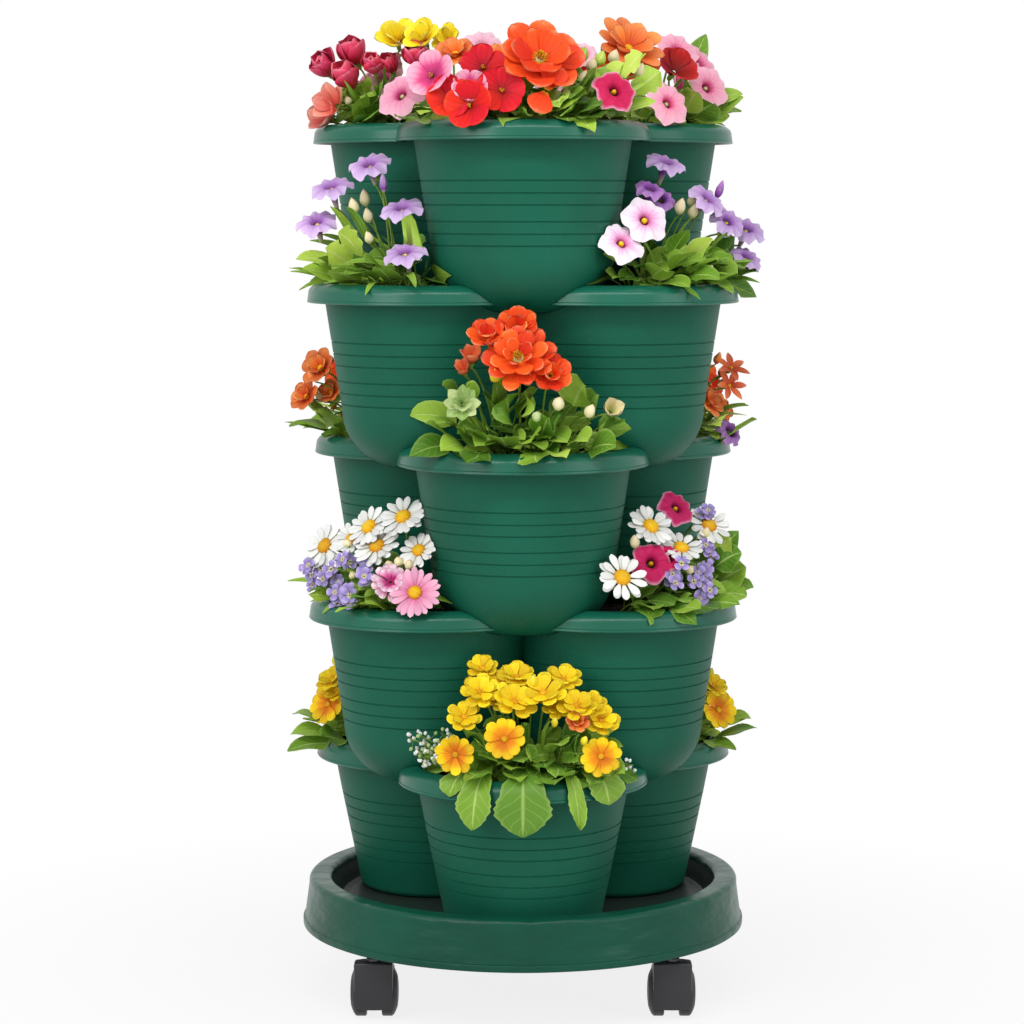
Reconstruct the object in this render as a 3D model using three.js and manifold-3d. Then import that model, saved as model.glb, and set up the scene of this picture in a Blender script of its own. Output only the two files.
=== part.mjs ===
import * as THREE from "three";
import { mergeVertices } from "three/addons/utils/BufferGeometryUtils.js";
import Module from "manifold-3d";

const wasm = await Module();
wasm.setup();

// A tower of three-lobed pots on a wheeled tray, in millimetres, +Z up.
// The origin is on the floor, on the tower's axis, and the front faces -Y.

const fullTurn = 2 * Math.PI;
const quarterTurn = Math.PI / 2;
const cutOverrun = 5; // how far a cutter runs past the faces it cuts
const fitGap = 0.3; // clearance between pieces that touch

// The tower: what every tier shares
const tierCount = 5;
const lobeCount = 3;
const lobeSides = 14;
const tierPitch = 160; // rim to rim
const nestDepth = 28; // how deep a tier sits in the one below
const plasticWall = 3;

// The rim, measured from its lower edge up and from the lobe's centre out
const rimHeight = 19.5;
const rimRadius = 125.8;
const rimFlick = 2.3; // how far the lower edge stands out
const rimShoulder = 9.5; // where the face turns into the crest's curve
const crestWidth = 14.5; // of that curve, from the face to the crest
const crestRadius = rimRadius - rimFlick - crestWidth;
const crestFlat = 0.3; // level width between that curve and the lip
const lipRounding = 2.5;
const grooveHeight = 12.5; // the hollow under the rim
const rimSteps = 2;

// The pots' walls
const rimOverhang = 18.3; // how far the rim's lower edge stands out from the wall
const wallRadius = rimRadius - rimOverhang; // at the rim's lower edge
const wallLap = 1.1; // how far a lobe's wall reaches past the tower's axis
const lobeReach = wallRadius - wallLap; // tower axis to a lobe's centre
const wallDraft = 0.152; // millimetres of radius for each millimetre of height
const bowlShoulder = 60; // height of a bowl's rounded lower part
const bowlFlatRadius = 25;
const bowlOutsideSteps = 3;
const bowlInsideSteps = 2;
const basePotHeight = 160;
const basePotTaper = 26.9; // how much narrower its foot is than its wall at the rim
const basePotRadius = wallRadius - basePotTaper;
const baseEdge = 8;
const drainRadius = 5;
const drainInset = 15.4; // lobe's centre to its drain hole, towards the axis
const drainReach = lobeReach - drainInset;
const drainSides = 8;
const spineRadius = 8; // round the spine where the lobes' walls meet on the tower's axis
const spineSides = 8;

// The soil and the planting
const soilDrop = 12; // below the rim's crest
const pitGap = 3; // clearance round each bowl above, in its hollow in the soil
const pitSides = 8;
const stalkRadius = 2.2;
const stalkSides = 3;
const moundReach = 48; // from the lobe's centre out
const moundSides = 7;
const moundRings = 4;
const crownHeight = 8; // where the stalks start, above the soil
const plantGap = 2; // kept clear of the tier above
const bloomSides = 6;
const bloomCupShare = 0.6; // how much of a bloom's depth lies behind its widest part
const leafThickness = 4;

// Width across the petals, and depth from the front to the cup behind them
const bloomKinds = {
  dahlia: { width: 80, depth: 34 },
  zinnia: { width: 76, depth: 24 },
  geranium: { width: 46, depth: 26 },
  petunia: { width: 46, depth: 30 },
  daisy: { width: 47, depth: 14 },
  primrose: { width: 36, depth: 14 },
  bud: { width: 26, depth: 30 },
  leaf: { width: 30, length: 46 },
  bigLeaf: { width: 38, length: 58 },
  drape: { width: 38, length: 56, hangs: true },
};
const drapeSlope = 0.5; // how far a draped leaf stands out for each millimetre that it hangs

// The tray, a floor inside a hollow raised edge
const traySides = 32;
const trayFloor = 94.9; // height of the floor that the base pot stands on
const trayCrest = 119.5;
const trayMargin = 4; // from the base pot's foot to the inner wall
const trayInnerSlope = 8; // how far the inner wall leans out
const trayEdgeWidth = 24; // of the raised edge, over its crest
const traySkirtFlare = 4.8; // how far the skirt spreads from the crest to the foot band
const trayStep = 1.9; // how far the foot band stands out
const trayWellRadius = lobeReach + basePotRadius + trayMargin; // where floor and inner wall meet
const trayInnerRadius = trayWellRadius + trayInnerSlope;
const trayOuterRadius = trayInnerRadius + trayEdgeWidth;
const trayStepRadius = trayOuterRadius + traySkirtFlare;
const trayFootRadius = trayStepRadius + trayStep;
const trayRounding = 6;
const trayFootHeight = 7;
const trayFoot = 68.7; // height of the foot band's lower edge
const socketRadius = 8;

// The casters. Each is built with its swivel axis at the origin and its middle plane at X = 0.
const casterNames = ["front_left", "front_right", "rear_right", "rear_left"];
const casterInset = 18.2; // from the tray's foot band to a swivel axis
const casterReach = trayFootRadius - casterInset;
const casterTrail = 20; // swivel axis to the axle
const wheelRadius = 25; // to the flats of its facets
const wheelSides = 16;
const wheelInnerFace = 7.75; // from the caster's middle plane
const wheelOuterFace = 24.3;
const wheelTreadEdge = 17.5;
const axleRadius = 3;
const axleSides = 8;
const axleCover = 3.5; // plastic left beyond the axle's end in each wheel
const hoodTop = 61;
const hoodHalfWidth = 19.5;
const hoodWall = 2.5;
const hoodGap = 1.5; // clearance round the wheels
const hoodSides = 32; // facets that a full circle of the hood would have
const hoodLip = 11.5; // height of the hood's lower edge
const hoodBack = 34; // height of its edge behind
const hoodFlat = 12; // length of the flat top behind the swivel axis
const hoodBackSteps = 4;
const hoodFrontSteps = 2;
const webSides = 16;
const webRadius = 13.5;
const webHalfWidth = 7;
const shaftRadius = 5.5; // the stem above the hood, up in the tray's socket
const shaftTop = 112;
const journalRadius = 4.75; // the stem inside the hood
const journalDepth = 14;
const collarRadius = 7;
const collarHeight = 3;
const stemSides = 8;

const finish = {
  pot: { color: 0x1f5a48, roughness: 0.5, metalness: 0 },
  tray: { color: 0x215c4b, roughness: 0.42, metalness: 0 },
  soil: { color: 0x2e2219, roughness: 0.95, metalness: 0 },
  plants: { color: 0x5f8f32, roughness: 0.7, metalness: 0 },
  caster: { color: 0x2b2b2d, roughness: 0.45, metalness: 0 },
  steel: { color: 0xb9bcc0, roughness: 0.3, metalness: 1 },
};

const tower = new THREE.Group();

const v2 = (x, y) => new THREE.Vector2(x, y);

// Turns a closed three.js geometry into a solid that can be joined and cut.
function solid(geometry) {
  geometry.deleteAttribute("normal");
  geometry.deleteAttribute("uv");
  const merged = mergeVertices(geometry);
  const index = merged.index.array;
  const kept = [];
  for (let i = 0; i < index.length; i += 3) {
    const [a, b, c] = [index[i], index[i + 1], index[i + 2]];
    if (a !== b && b !== c && c !== a) kept.push(a, b, c);
  }
  return new wasm.Manifold(
    new wasm.Mesh({
      numProp: 3,
      vertProperties: new Float32Array(merged.attributes.position.array),
      triVerts: new Uint32Array(kept),
    }),
  );
}

// A mesh's triangles without the shells of small hollows that petals and leaves close off
// between them. Triangles that share vertices form a shell, and a hollow's has a negative volume.
function filledTriangles({ vertProperties, triVerts }) {
  const leader = Array.from({ length: vertProperties.length / 3 }, (_, i) => i);
  const find = (i) => {
    while (leader[i] !== i) i = leader[i] = leader[leader[i]];
    return i;
  };
  const corner = (i) => new THREE.Vector3().fromArray(vertProperties, 3 * triVerts[i]);
  for (let i = 0; i < triVerts.length; i += 3) {
    leader[find(triVerts[i + 1])] = find(triVerts[i]);
    leader[find(triVerts[i + 2])] = find(triVerts[i]);
  }
  const volumes = new Map();
  for (let i = 0; i < triVerts.length; i += 3) {
    const shell = find(triVerts[i]);
    const volume = corner(i).dot(corner(i + 1).cross(corner(i + 2))) / 6;
    volumes.set(shell, (volumes.get(shell) ?? 0) + volume);
  }
  const inShell = (_, i) => volumes.get(find(triVerts[i - (i % 3)])) > 0;
  return triVerts.filter(inShell);
}

// Adds a solid to a group as a named mesh with its own material.
function addPiece(group, name, shape, look) {
  const mesh = shape.getMesh();
  const geometry = new THREE.BufferGeometry();
  geometry.setAttribute("position", new THREE.BufferAttribute(mesh.vertProperties, 3));
  geometry.setIndex(new THREE.BufferAttribute(filledTriangles(mesh), 1));
  geometry.computeVertexNormals();
  const piece = new THREE.Mesh(geometry, new THREE.MeshStandardMaterial(look));
  piece.name = name;
  group.add(piece);
  return piece;
}

// A profile of (radius, height) points turned about the Z axis.
function turned(profile, sides) {
  return new THREE.LatheGeometry(profile, sides).rotateX(quarterTurn);
}

const joined = (solids) => solids.reduce((whole, next) => whole.add(next));

// Points of a quarter ellipse, from angle zero to a right angle.
function quarterArc(centre, radiusX, radiusY, steps) {
  return Array.from({ length: steps + 1 }, (_, i) => {
    const angle = (quarterTurn * i) / steps;
    return v2(centre.x + radiusX * Math.cos(angle), centre.y + radiusY * Math.sin(angle));
  });
}

// One turned profile for each lobe of a tier. With no turn, a lobe is at the front.
function lobes(profile, turn = 0, lift = 0, sides = lobeSides) {
  return joined(
    Array.from({ length: lobeCount }, (_, i) =>
      solid(
        turned(profile, sides)
          .translate(0, -lobeReach, lift)
          .rotateZ(turn + (fullTurn * i) / lobeCount),
      ),
    ),
  );
}

// The radius of a polygon's corners, given the radius to its flats
const cornerRadius = (flats, sides) => flats / Math.cos(Math.PI / sides);

// Heights inside a tier are measured from the lower edge of its rim.
const bowlBottom = rimHeight - tierPitch - nestDepth;
const baseBottom = rimHeight - basePotHeight;
const soilTop = rimHeight - soilDrop;
const halfLobeTurn = fullTurn / (2 * lobeCount);
const wallAt = (height) => wallRadius + wallDraft * height;
const spineTop = plasticWall - wallLap / wallDraft;

// A short upright prism on the tower's axis.
function upright(radius, sides, bottom, top) {
  return new THREE.CylinderGeometry(radius, radius, top - bottom, sides)
    .rotateX(quarterTurn)
    .translate(0, 0, (bottom + top) / 2);
}

// The outside of a round bowl up to the rim's lower edge, grown by an allowance.
function bowlProfile(grow) {
  const shoulder = bowlBottom + bowlShoulder;
  const steps = grow < 0 ? bowlInsideSteps : bowlOutsideSteps;
  const corner = quarterArc(
    v2(bowlFlatRadius, shoulder),
    wallAt(shoulder) - bowlFlatRadius + grow,
    -(bowlShoulder + grow),
    steps,
  ).reverse();
  return [v2(0, bowlBottom - grow), ...corner, v2(wallRadius + grow, 0)];
}

// The outside of the flat-bottomed base pot, grown the same way.
function basePotProfile(grow) {
  return [
    v2(0, baseBottom - grow),
    v2(basePotRadius - baseEdge + grow, baseBottom - grow),
    v2(basePotRadius + grow, baseBottom + baseEdge),
    v2(wallRadius + grow, 0),
  ];
}

// The curve from the rim's outer face to its crest, grown by an allowance.
function rimCurve(grow) {
  const faceRadius = rimRadius - rimFlick;
  const rise = rimHeight - rimShoulder + grow;
  return quarterArc(v2(crestRadius, rimShoulder), faceRadius - crestRadius + grow, rise, rimSteps);
}

// The mouth inside the rim's lip, with its slope carried past the crest.
function mouthCurve(shrink) {
  const lipStart = crestRadius - crestFlat - lipRounding - shrink;
  return [
    v2(lipStart, rimHeight - lipRounding),
    v2(lipStart + lipRounding + cutOverrun, rimHeight + cutOverrun),
    v2(0, rimHeight + cutOverrun),
  ];
}

// A three-lobed pot: walls and a rolled rim, hollow inside and under the rim, with a drain hole
// in each lobe.
function pot(profileOf, bottom, seat) {
  const wallTop = (grooveHeight + rimHeight) / 2;
  const wall = lobes([...profileOf(0), v2(wallAt(wallTop), wallTop), v2(0, wallTop)]);
  const rim = lobes([v2(0, 0), v2(rimRadius, 0), ...rimCurve(0), v2(0, rimHeight)]);
  const skirtInside = rimRadius - plasticWall;
  const groove = lobes([
    v2(0, -cutOverrun),
    v2(skirtInside, -cutOverrun),
    v2(skirtInside, 0),
    v2(skirtInside - rimFlick - plasticWall, grooveHeight),
    v2(0, grooveHeight),
  ]);
  const hollow = lobes([...profileOf(-plasticWall), ...mouthCurve(0)]);
  const overSpine = upright(spineRadius, spineSides, spineTop, rimHeight + cutOverrun);
  let shell = rim.subtract(groove).add(wall).subtract(hollow).subtract(solid(overSpine));
  const drainTop = bottom + plasticWall + cutOverrun;
  for (let i = 0; i < lobeCount; i++) {
    const drain = upright(drainRadius, drainSides, bottom - cutOverrun, drainTop)
      .translate(0, -drainReach, 0)
      .rotateZ((fullTurn * i) / lobeCount);
    shell = shell.subtract(solid(drain));
  }
  return seat ? shell.subtract(seat) : shell;
}

// The soil that fills a pot up to a level below the rim, hollowed where the bowls of the tier
// above go in.
function soil(profileOf, hollowed) {
  const inside = profileOf(-plasticWall - fitGap);
  const top = inside.pop().x;
  const overSpine = upright(spineRadius - fitGap, spineSides, spineTop + fitGap, soilTop);
  const fill = lobes([...inside, v2(top, soilTop), v2(0, soilTop)]).add(solid(overSpine));
  return hollowed ? fill.subtract(bowlPits) : fill;
}

// Each pocket's planting, seen from outside the pocket. A mound of foliage has its width and its
// length out from the tower as shares of the rim's radius, and its height as a share of the pitch.
// Each bloom or large leaf has its place sideways and outwards from the lobe's centre as shares of
// the rim's radius, and up from the rim's crest as a share of the pitch.
const plantingShares = [
  {
    front: {
      mound: [1.35, 0.88, 0.5],
      places: [
        ["primrose", -0.32, 0.5, 0.64], ["primrose", 0.31, 0.56, 0.6], ["primrose", 0.62, 0.68, 0.36],
        ["primrose", -0.14, 0.94, 0.28], ["primrose", -0.53, 0.86, 0.17], ["primrose", 0.62, 0.88, 0.17],
        ["drape", -0.34, 0.95, 0.07], ["drape", 0.02, 0.97, 0.07],
      ],
    },
    rear_right: {
      mound: [1.3, 0.8, 0.3],
      places: [["primrose", -0.78, 0.54, 0.38], ["primrose", -0.8, 0.6, 0.2], ["leaf", -0.82, 0.8, 0.16]],
    },
    rear_left: {
      mound: [1.3, 0.8, 0.3],
      places: [["primrose", 0.78, 0.54, 0.42], ["primrose", 0.8, 0.6, 0.25], ["leaf", 0.8, 0.86, 0.12]],
    },
  },
  {
    front_right: {
      mound: [1.3, 0.9, 0.34],
      places: [
        ["petunia", -0.05, 0.58, 0.6], ["daisy", -0.36, 0.54, 0.5], ["daisy", 0.27, 0.74, 0.47],
        ["daisy", -0.78, 0.52, 0.22], ["petunia", -0.5, 0.62, 0.3], ["leaf", 0.4, 0.95, 0.12],
      ],
    },
    rear: {
      mound: [1.3, 0.9, 0.3],
      places: [["daisy", 0, 0.7, 0.45], ["daisy", -0.4, 0.7, 0.35], ["daisy", 0.35, 0.98, 0.2]],
    },
    front_left: {
      mound: [1.3, 0.9, 0.34],
      places: [
        ["daisy", 0.43, 0.52, 0.55], ["daisy", 0.15, 0.66, 0.49], ["daisy", -0.32, 0.84, 0.34],
        ["daisy", 0.76, 0.64, 0.14], ["petunia", 0.58, 0.72, 0.19],
      ],
    },
  },
  {
    front: {
      mound: [1.3, 0.9, 0.32],
      places: [
        ["dahlia", -0.05, 0.74, 0.56], ["geranium", -0.24, 0.6, 0.66], ["geranium", 0.2, 0.78, 0.46],
        ["bud", -0.42, 0.68, 0.57], ["bud", 0.7, 0.68, 0.23], ["bigLeaf", -0.6, 0.8, 0.12],
      ],
    },
    rear_right: {
      mound: [1.3, 0.8, 0.25],
      places: [["geranium", -0.78, 0.7, 0.44], ["geranium", 0.1, 0.65, 0.4], ["leaf", -0.86, 0.76, 0.1]],
    },
    rear_left: {
      mound: [1.3, 0.8, 0.25],
      places: [
        ["geranium", 0.76, 0.64, 0.44], ["geranium", 0.78, 0.8, 0.28], ["leaf", 0.75, 0.84, 0.12],
      ],
    },
  },
  {
    front_right: {
      mound: [1.2, 0.8, 0.25],
      places: [
        ["petunia", -0.03, 0.5, 0.74], ["petunia", -0.56, 0.58, 0.4], ["petunia", -0.74, 0.5, 0.26],
        ["petunia", 0.12, 0.8, 0.54], ["petunia", 0.5, 0.94, 0.34], ["petunia", 0.38, 1.02, 0.17],
      ],
    },
    rear: {
      mound: [1.2, 0.8, 0.25],
      places: [["petunia", 0, 0.6, 0.6], ["petunia", -0.35, 1.04, 0.3], ["petunia", 0.4, 0.75, 0.35]],
    },
    front_left: {
      mound: [1.2, 0.8, 0.22],
      places: [
        ["petunia", 0.05, 0.58, 0.74], ["petunia", -0.25, 0.79, 0.6], ["petunia", -0.35, 0.88, 0.38],
        ["petunia", 0.4, 0.5, 0.46], ["petunia", 0.58, 0.58, 0.21],
      ],
    },
  },
  {
    front: {
      mound: [1.45, 0.88, 0.25],
      places: [
        ["geranium", -0.33, 0.68, 0.3], ["petunia", -0.7, 0.72, 0.27], ["petunia", -0.9, 0.5, 0.16],
        ["petunia", -0.33, -0.3, 0.48], ["dahlia", 0.13, 0.66, 0.36], ["petunia", 0.7, 0.7, 0.18],
        ["bud", 0.86, 0.42, 0.27],
      ],
    },
    rear_right: {
      mound: [1.45, 0.88, 0.25],
      places: [
        ["zinnia", -0.68, -0.26, 0.46], ["petunia", -0.44, 0.56, 0.42], ["petunia", -0.92, -0.04, 0.14],
        ["petunia", -0.62, 0.54, 0.24], ["petunia", 0.2, 0.5, 0.4],
      ],
    },
    rear_left: {
      mound: [1.45, 0.88, 0.25],
      places: [
        ["bud", 0.47, 0.74, 0.43], ["bud", 0.58, 0.46, 0.32], ["petunia", 0.7, 0.58, 0.15],
        ["petunia", 0.5, 0.06, 0.5], ["petunia", -0.1, 0.55, 0.4],
      ],
    },
  },
];

// A thin stalk from one point to another.
function stalk(from, to) {
  const along = to.clone().sub(from);
  const rod = new THREE.CylinderGeometry(stalkRadius, stalkRadius, along.length(), stalkSides);
  const turn = new THREE.Quaternion().setFromUnitVectors(new THREE.Vector3(0, 1, 0), along.normalize());
  return rod.applyQuaternion(turn).translate(...from.clone().add(to).divideScalar(2).toArray());
}

// A bloom's body facing along a direction: a cup behind the widest ring of petals and a crown before it.
function bloomHead(kind, facing) {
  const { width, depth } = kind;
  const profile = [v2(0, -depth * bloomCupShare), v2(width / 2, 0), v2(0, depth * (1 - bloomCupShare))];
  const turn = new THREE.Quaternion().setFromUnitVectors(new THREE.Vector3(0, 0, 1), facing);
  return turned(profile, bloomSides).applyQuaternion(turn);
}

// A leaf blade pointing along a direction, its upper side up.
function blade({ width, length }, along) {
  const across = along.clone().cross(new THREE.Vector3(0, 0, 1)).normalize();
  const upper = across.clone().cross(along);
  const place = new THREE.Matrix4().makeBasis(across, along, upper);
  return new THREE.OctahedronGeometry(1)
    .scale(width / 2, length / 2, leafThickness / 2)
    .applyMatrix4(place);
}

// One pocket's planting in one solid: low foliage, blooms and leaves, each on its stalk.
function planting({ mound, places }, keepOut) {
  const root = new THREE.Vector3(0, -lobeReach - moundReach, soilTop + fitGap);
  const [widthShare, lengthShare, heightShare] = mound;
  const foliage = new THREE.SphereGeometry(1, moundSides, moundRings)
    .rotateX(quarterTurn)
    .scale((widthShare * rimRadius) / 2, (lengthShare * rimRadius) / 2, heightShare * tierPitch)
    .translate(...root.toArray());
  const parts = [foliage];
  const crown = root.clone().setZ(root.z + crownHeight);
  for (const [kindName, sideShare, outShare, upShare] of places) {
    const kind = bloomKinds[kindName];
    const place = new THREE.Vector3(
      sideShare * rimRadius,
      -lobeReach - outShare * rimRadius,
      rimHeight + upShare * tierPitch,
    );
    const outward = place.clone().sub(root).normalize();
    if (kind.hangs) {
      const down = new THREE.Vector3(0, -drapeSlope, -1).normalize();
      const middle = place.clone().addScaledVector(down, kind.length / 2 - stalkRadius);
      parts.push(blade(kind, down).translate(...middle.toArray()));
    } else if (kind.length) {
      parts.push(blade(kind, outward).translate(...place.toArray()));
    } else {
      const facing = outward.add(new THREE.Vector3(0, -1, 0)).normalize();
      parts.push(bloomHead(kind, facing).translate(...place.toArray()));
    }
    parts.push(stalk(crown, place));
  }
  return joined(parts.map(solid)).subtract(keepOut);
}

// The tiers, from the base up
const pocketNames = [["front", "rear_right", "rear_left"], ["front_right", "rear", "front_left"]];
const seatFor = (grow) => lobes([...bowlProfile(grow), v2(0, 0)], halfLobeTurn, tierPitch);
const seat = seatFor(fitGap);
const pitFloor = bowlBottom - fitGap;
const pitMouth = bowlBottom + nestDepth;
const bowlFromShoulder = 1 - (nestDepth - soilDrop) / bowlShoulder;
const bowlSpread = wallAt(bowlBottom + bowlShoulder) - bowlFlatRadius;
const bowlAtSoil = bowlFlatRadius + bowlSpread * Math.sqrt(1 - bowlFromShoulder ** 2);
const pitRadius = cornerRadius(bowlAtSoil + pitGap, pitSides);
const bowlPits = lobes(
  [v2(0, pitFloor), v2(pitRadius, pitFloor), v2(pitRadius, pitMouth), v2(0, pitMouth)],
  halfLobeTurn,
  tierPitch,
  pitSides,
);
const bowlsAbove = seatFor(plantGap);
const guardFoot = -rimHeight;
const rimGuard = lobes([
  v2(0, guardFoot),
  v2(rimRadius + plantGap, guardFoot),
  ...rimCurve(plantGap),
  v2(0, rimHeight + plantGap),
]).subtract(
  lobes([
    v2(0, guardFoot - cutOverrun),
    v2(wallRadius - plasticWall - plantGap, guardFoot - cutOverrun),
    ...mouthCurve(plantGap),
  ]),
);
const potWidth = 2 * (lobeReach + wallRadius);
const underSoil = solid(
  new THREE.BoxGeometry(potWidth, potWidth, tierPitch).translate(
    0,
    0,
    soilTop + fitGap - tierPitch / 2,
  ),
);

// Each tier rests in notches in the rim below. The top tier's rim has none.
plantingShares.forEach((pockets, level) => {
  const isBase = level === 0;
  const isTop = level === tierCount - 1;
  const profileOf = isBase ? basePotProfile : bowlProfile;
  const tier = new THREE.Group();
  tier.position.z = trayFloor + fitGap + basePotHeight - rimHeight + level * tierPitch;
  tier.rotation.z = (level % 2) * halfLobeTurn;
  tower.add(tier);
  const name = `tier_${level + 1}`;
  const bottom = isBase ? baseBottom : bowlBottom;
  addPiece(tier, `${name}_pot`, pot(profileOf, bottom, isTop ? null : seat), finish.pot);
  addPiece(tier, `${name}_soil`, soil(profileOf, !isTop), finish.soil);
  pocketNames[level % 2].forEach((pocket, i) => {
    const clearOf = underSoil.add(rimGuard);
    const keepOut = isTop ? clearOf : clearOf.add(bowlsAbove);
    const turnedPocket = addPiece(
      tier,
      `${name}_plants_${pocket}`,
      planting(pockets[pocket], keepOut),
      finish.plants,
    );
    turnedPocket.rotation.z = (fullTurn * i) / lobeCount;
  });
});

// A profile of (radius, height) points turned about the X axis, its heights running along +X.
function turnedSideways(profile, sides) {
  const flatDown = Math.PI / sides;
  return new THREE.LatheGeometry(profile, sides).rotateY(flatDown).rotateZ(-quarterTurn);
}

const polar = (radius, angle) => v2(radius * Math.cos(angle), radius * Math.sin(angle));

// A prism along X, centred on X = 0, from an outline of (Y, Z) points.
function slab(outline, halfWidth) {
  return new THREE.ExtrudeGeometry(new THREE.Shape(outline), {
    depth: 2 * halfWidth,
    bevelEnabled: false,
  })
    .translate(0, 0, -halfWidth)
    .rotateX(quarterTurn)
    .rotateZ(quarterTurn);
}

// A tray with a hollow edge that holds a socket for each caster's stem.
function tray() {
  const wall = plasticWall;
  const underFloor = trayFloor - wall;
  const bandTop = trayFoot + trayFootHeight;
  let shell = solid(
    turned(
      [
        v2(0, underFloor),
        v2(trayWellRadius + wall, underFloor),
        v2(trayInnerRadius + wall, trayCrest - trayRounding),
        v2(trayInnerRadius + trayRounding, trayCrest - wall),
        v2(trayOuterRadius - trayRounding, trayCrest - wall),
        v2(trayOuterRadius - wall, trayCrest - trayRounding),
        v2(trayStepRadius - wall, trayFoot),
        v2(trayFootRadius, trayFoot),
        v2(trayFootRadius, bandTop),
        v2(trayStepRadius, bandTop),
        v2(trayOuterRadius, trayCrest - trayRounding),
        v2(trayOuterRadius - trayRounding, trayCrest),
        v2(trayInnerRadius + trayRounding, trayCrest),
        v2(trayInnerRadius, trayCrest - trayRounding),
        v2(trayWellRadius, trayFloor),
        v2(0, trayFloor),
      ],
      traySides,
    ),
  );
  const socketTop = trayCrest - wall / 2;
  casterNames.forEach((_, i) => {
    const overCaster = (radius, bottom, top) => {
      const prism = upright(radius, stemSides, bottom, top);
      return solid(prism.translate(casterReach, 0, 0).rotateZ(casterAngle(i)));
    };
    const socket = overCaster(socketRadius, bandTop, socketTop);
    const bore = overCaster(shaftRadius + fitGap, bandTop - cutOverrun, shaftTop + fitGap);
    shell = shell.add(socket).subtract(bore);
  });
  return shell;
}

// The casters stand on the diagonals, counted from the front left.
const casterAngle = (i) => fullTurn * ((i + 1 / 2) / casterNames.length - 1 / 2);

// The stem: a shaft for the tray's socket, a collar, and a journal that the hood swivels on.
function casterStem() {
  const collarFoot = hoodTop + fitGap;
  return solid(
    turned(
      [
        v2(0, hoodTop - journalDepth),
        v2(journalRadius, hoodTop - journalDepth),
        v2(journalRadius, collarFoot),
        v2(collarRadius, collarFoot),
        v2(collarRadius, collarFoot + collarHeight),
        v2(shaftRadius, collarFoot + collarHeight),
        v2(shaftRadius, shaftTop),
        v2(0, shaftTop),
      ],
      stemSides,
    ),
  );
}

// The hood: a drum round both wheels with a flat top, open below and behind, and a web that holds the axle.
function casterHood() {
  const inside = wheelRadius + hoodGap;
  const outside = inside + hoodWall;
  const axle = v2(casterTrail, wheelRadius);
  const onDrum = (angle) => polar(cornerRadius(outside, hoodSides), angle).add(axle);
  const frontAngle = Math.PI + Math.asin((wheelRadius - hoodLip) / outside);
  const backAngle = Math.asin((hoodBack - wheelRadius) / outside);
  const arc = (from, to, steps) =>
    Array.from({ length: steps + 1 }, (_, i) => onDrum(from + ((to - from) * i) / steps));
  const front = axle.x - outside;
  const outline = [
    axle,
    ...arc(backAngle, quarterTurn, hoodBackSteps),
    v2(hoodFlat, hoodTop),
    v2(front + hoodWall, hoodTop),
    v2(front, hoodTop - hoodWall),
    ...arc(Math.PI, frontAngle, hoodFrontSteps),
    v2(axle.x, hoodLip),
  ];
  const drum = solid(slab(outline, hoodHalfWidth));
  const wheelWell = (side) => {
    const from = webHalfWidth;
    const to = hoodHalfWidth + cutOverrun;
    const radius = cornerRadius(inside, hoodSides);
    const profile = [v2(0, from), v2(radius, from), v2(radius, to), v2(0, to)];
    const well = turnedSideways(profile, hoodSides);
    return solid(well.rotateZ(side > 0 ? 0 : Math.PI).translate(0, casterTrail, wheelRadius));
  };
  const web = solid(
    turnedSideways(
      [
        v2(0, -webHalfWidth),
        v2(webRadius, -webHalfWidth),
        v2(webRadius, webHalfWidth),
        v2(0, webHalfWidth),
      ],
      webSides,
    ).translate(0, casterTrail, wheelRadius),
  );
  const boreEnd = hoodHalfWidth + cutOverrun;
  const axleBore = axleRadius + fitGap;
  const axleHole = turnedSideways(
    [v2(0, -boreEnd), v2(axleBore, -boreEnd), v2(axleBore, boreEnd), v2(0, boreEnd)],
    axleSides,
  ).translate(0, casterTrail, wheelRadius);
  const stemBore = cornerRadius(journalRadius + fitGap, stemSides);
  const boreFoot = hoodTop - journalDepth - fitGap;
  const stemHole = turned(
    [
      v2(0, boreFoot),
      v2(stemBore, boreFoot),
      v2(stemBore, hoodTop + cutOverrun),
      v2(0, hoodTop + cutOverrun),
    ],
    stemSides,
  );
  return drum
    .subtract(wheelWell(1))
    .subtract(wheelWell(-1))
    .add(web)
    .subtract(solid(axleHole))
    .subtract(solid(stemHole));
}

const axleHalfLength = wheelOuterFace - axleCover;

function casterAxle() {
  return solid(
    turnedSideways(
      [
        v2(0, -axleHalfLength),
        v2(axleRadius, -axleHalfLength),
        v2(axleRadius, axleHalfLength),
        v2(0, axleHalfLength),
      ],
      axleSides,
    ).translate(0, casterTrail, wheelRadius),
  );
}

// A wheel on the +X or the -X side: a flat tread, a domed outer face and a blind bore for the axle.
function casterWheel(side) {
  const dome = wheelOuterFace - wheelTreadEdge;
  const radius = cornerRadius(wheelRadius, wheelSides);
  const boreRadius = axleRadius + fitGap;
  const boreEnd = axleHalfLength + fitGap;
  const faceShares = [
    [1, 0],
    [0.9, 0.42],
    [0.62, 0.84],
  ];
  const profile = [
    v2(0, boreEnd),
    v2(boreRadius, boreEnd),
    v2(boreRadius, wheelInnerFace),
    v2(radius, wheelInnerFace),
    ...faceShares.map(([radiusShare, domeShare]) =>
      v2(radius * radiusShare, wheelTreadEdge + dome * domeShare),
    ),
    v2(0, wheelOuterFace),
  ];
  const wheel = turnedSideways(profile, wheelSides);
  return solid(wheel.rotateZ(side > 0 ? 0 : Math.PI).translate(0, casterTrail, wheelRadius));
}

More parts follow.
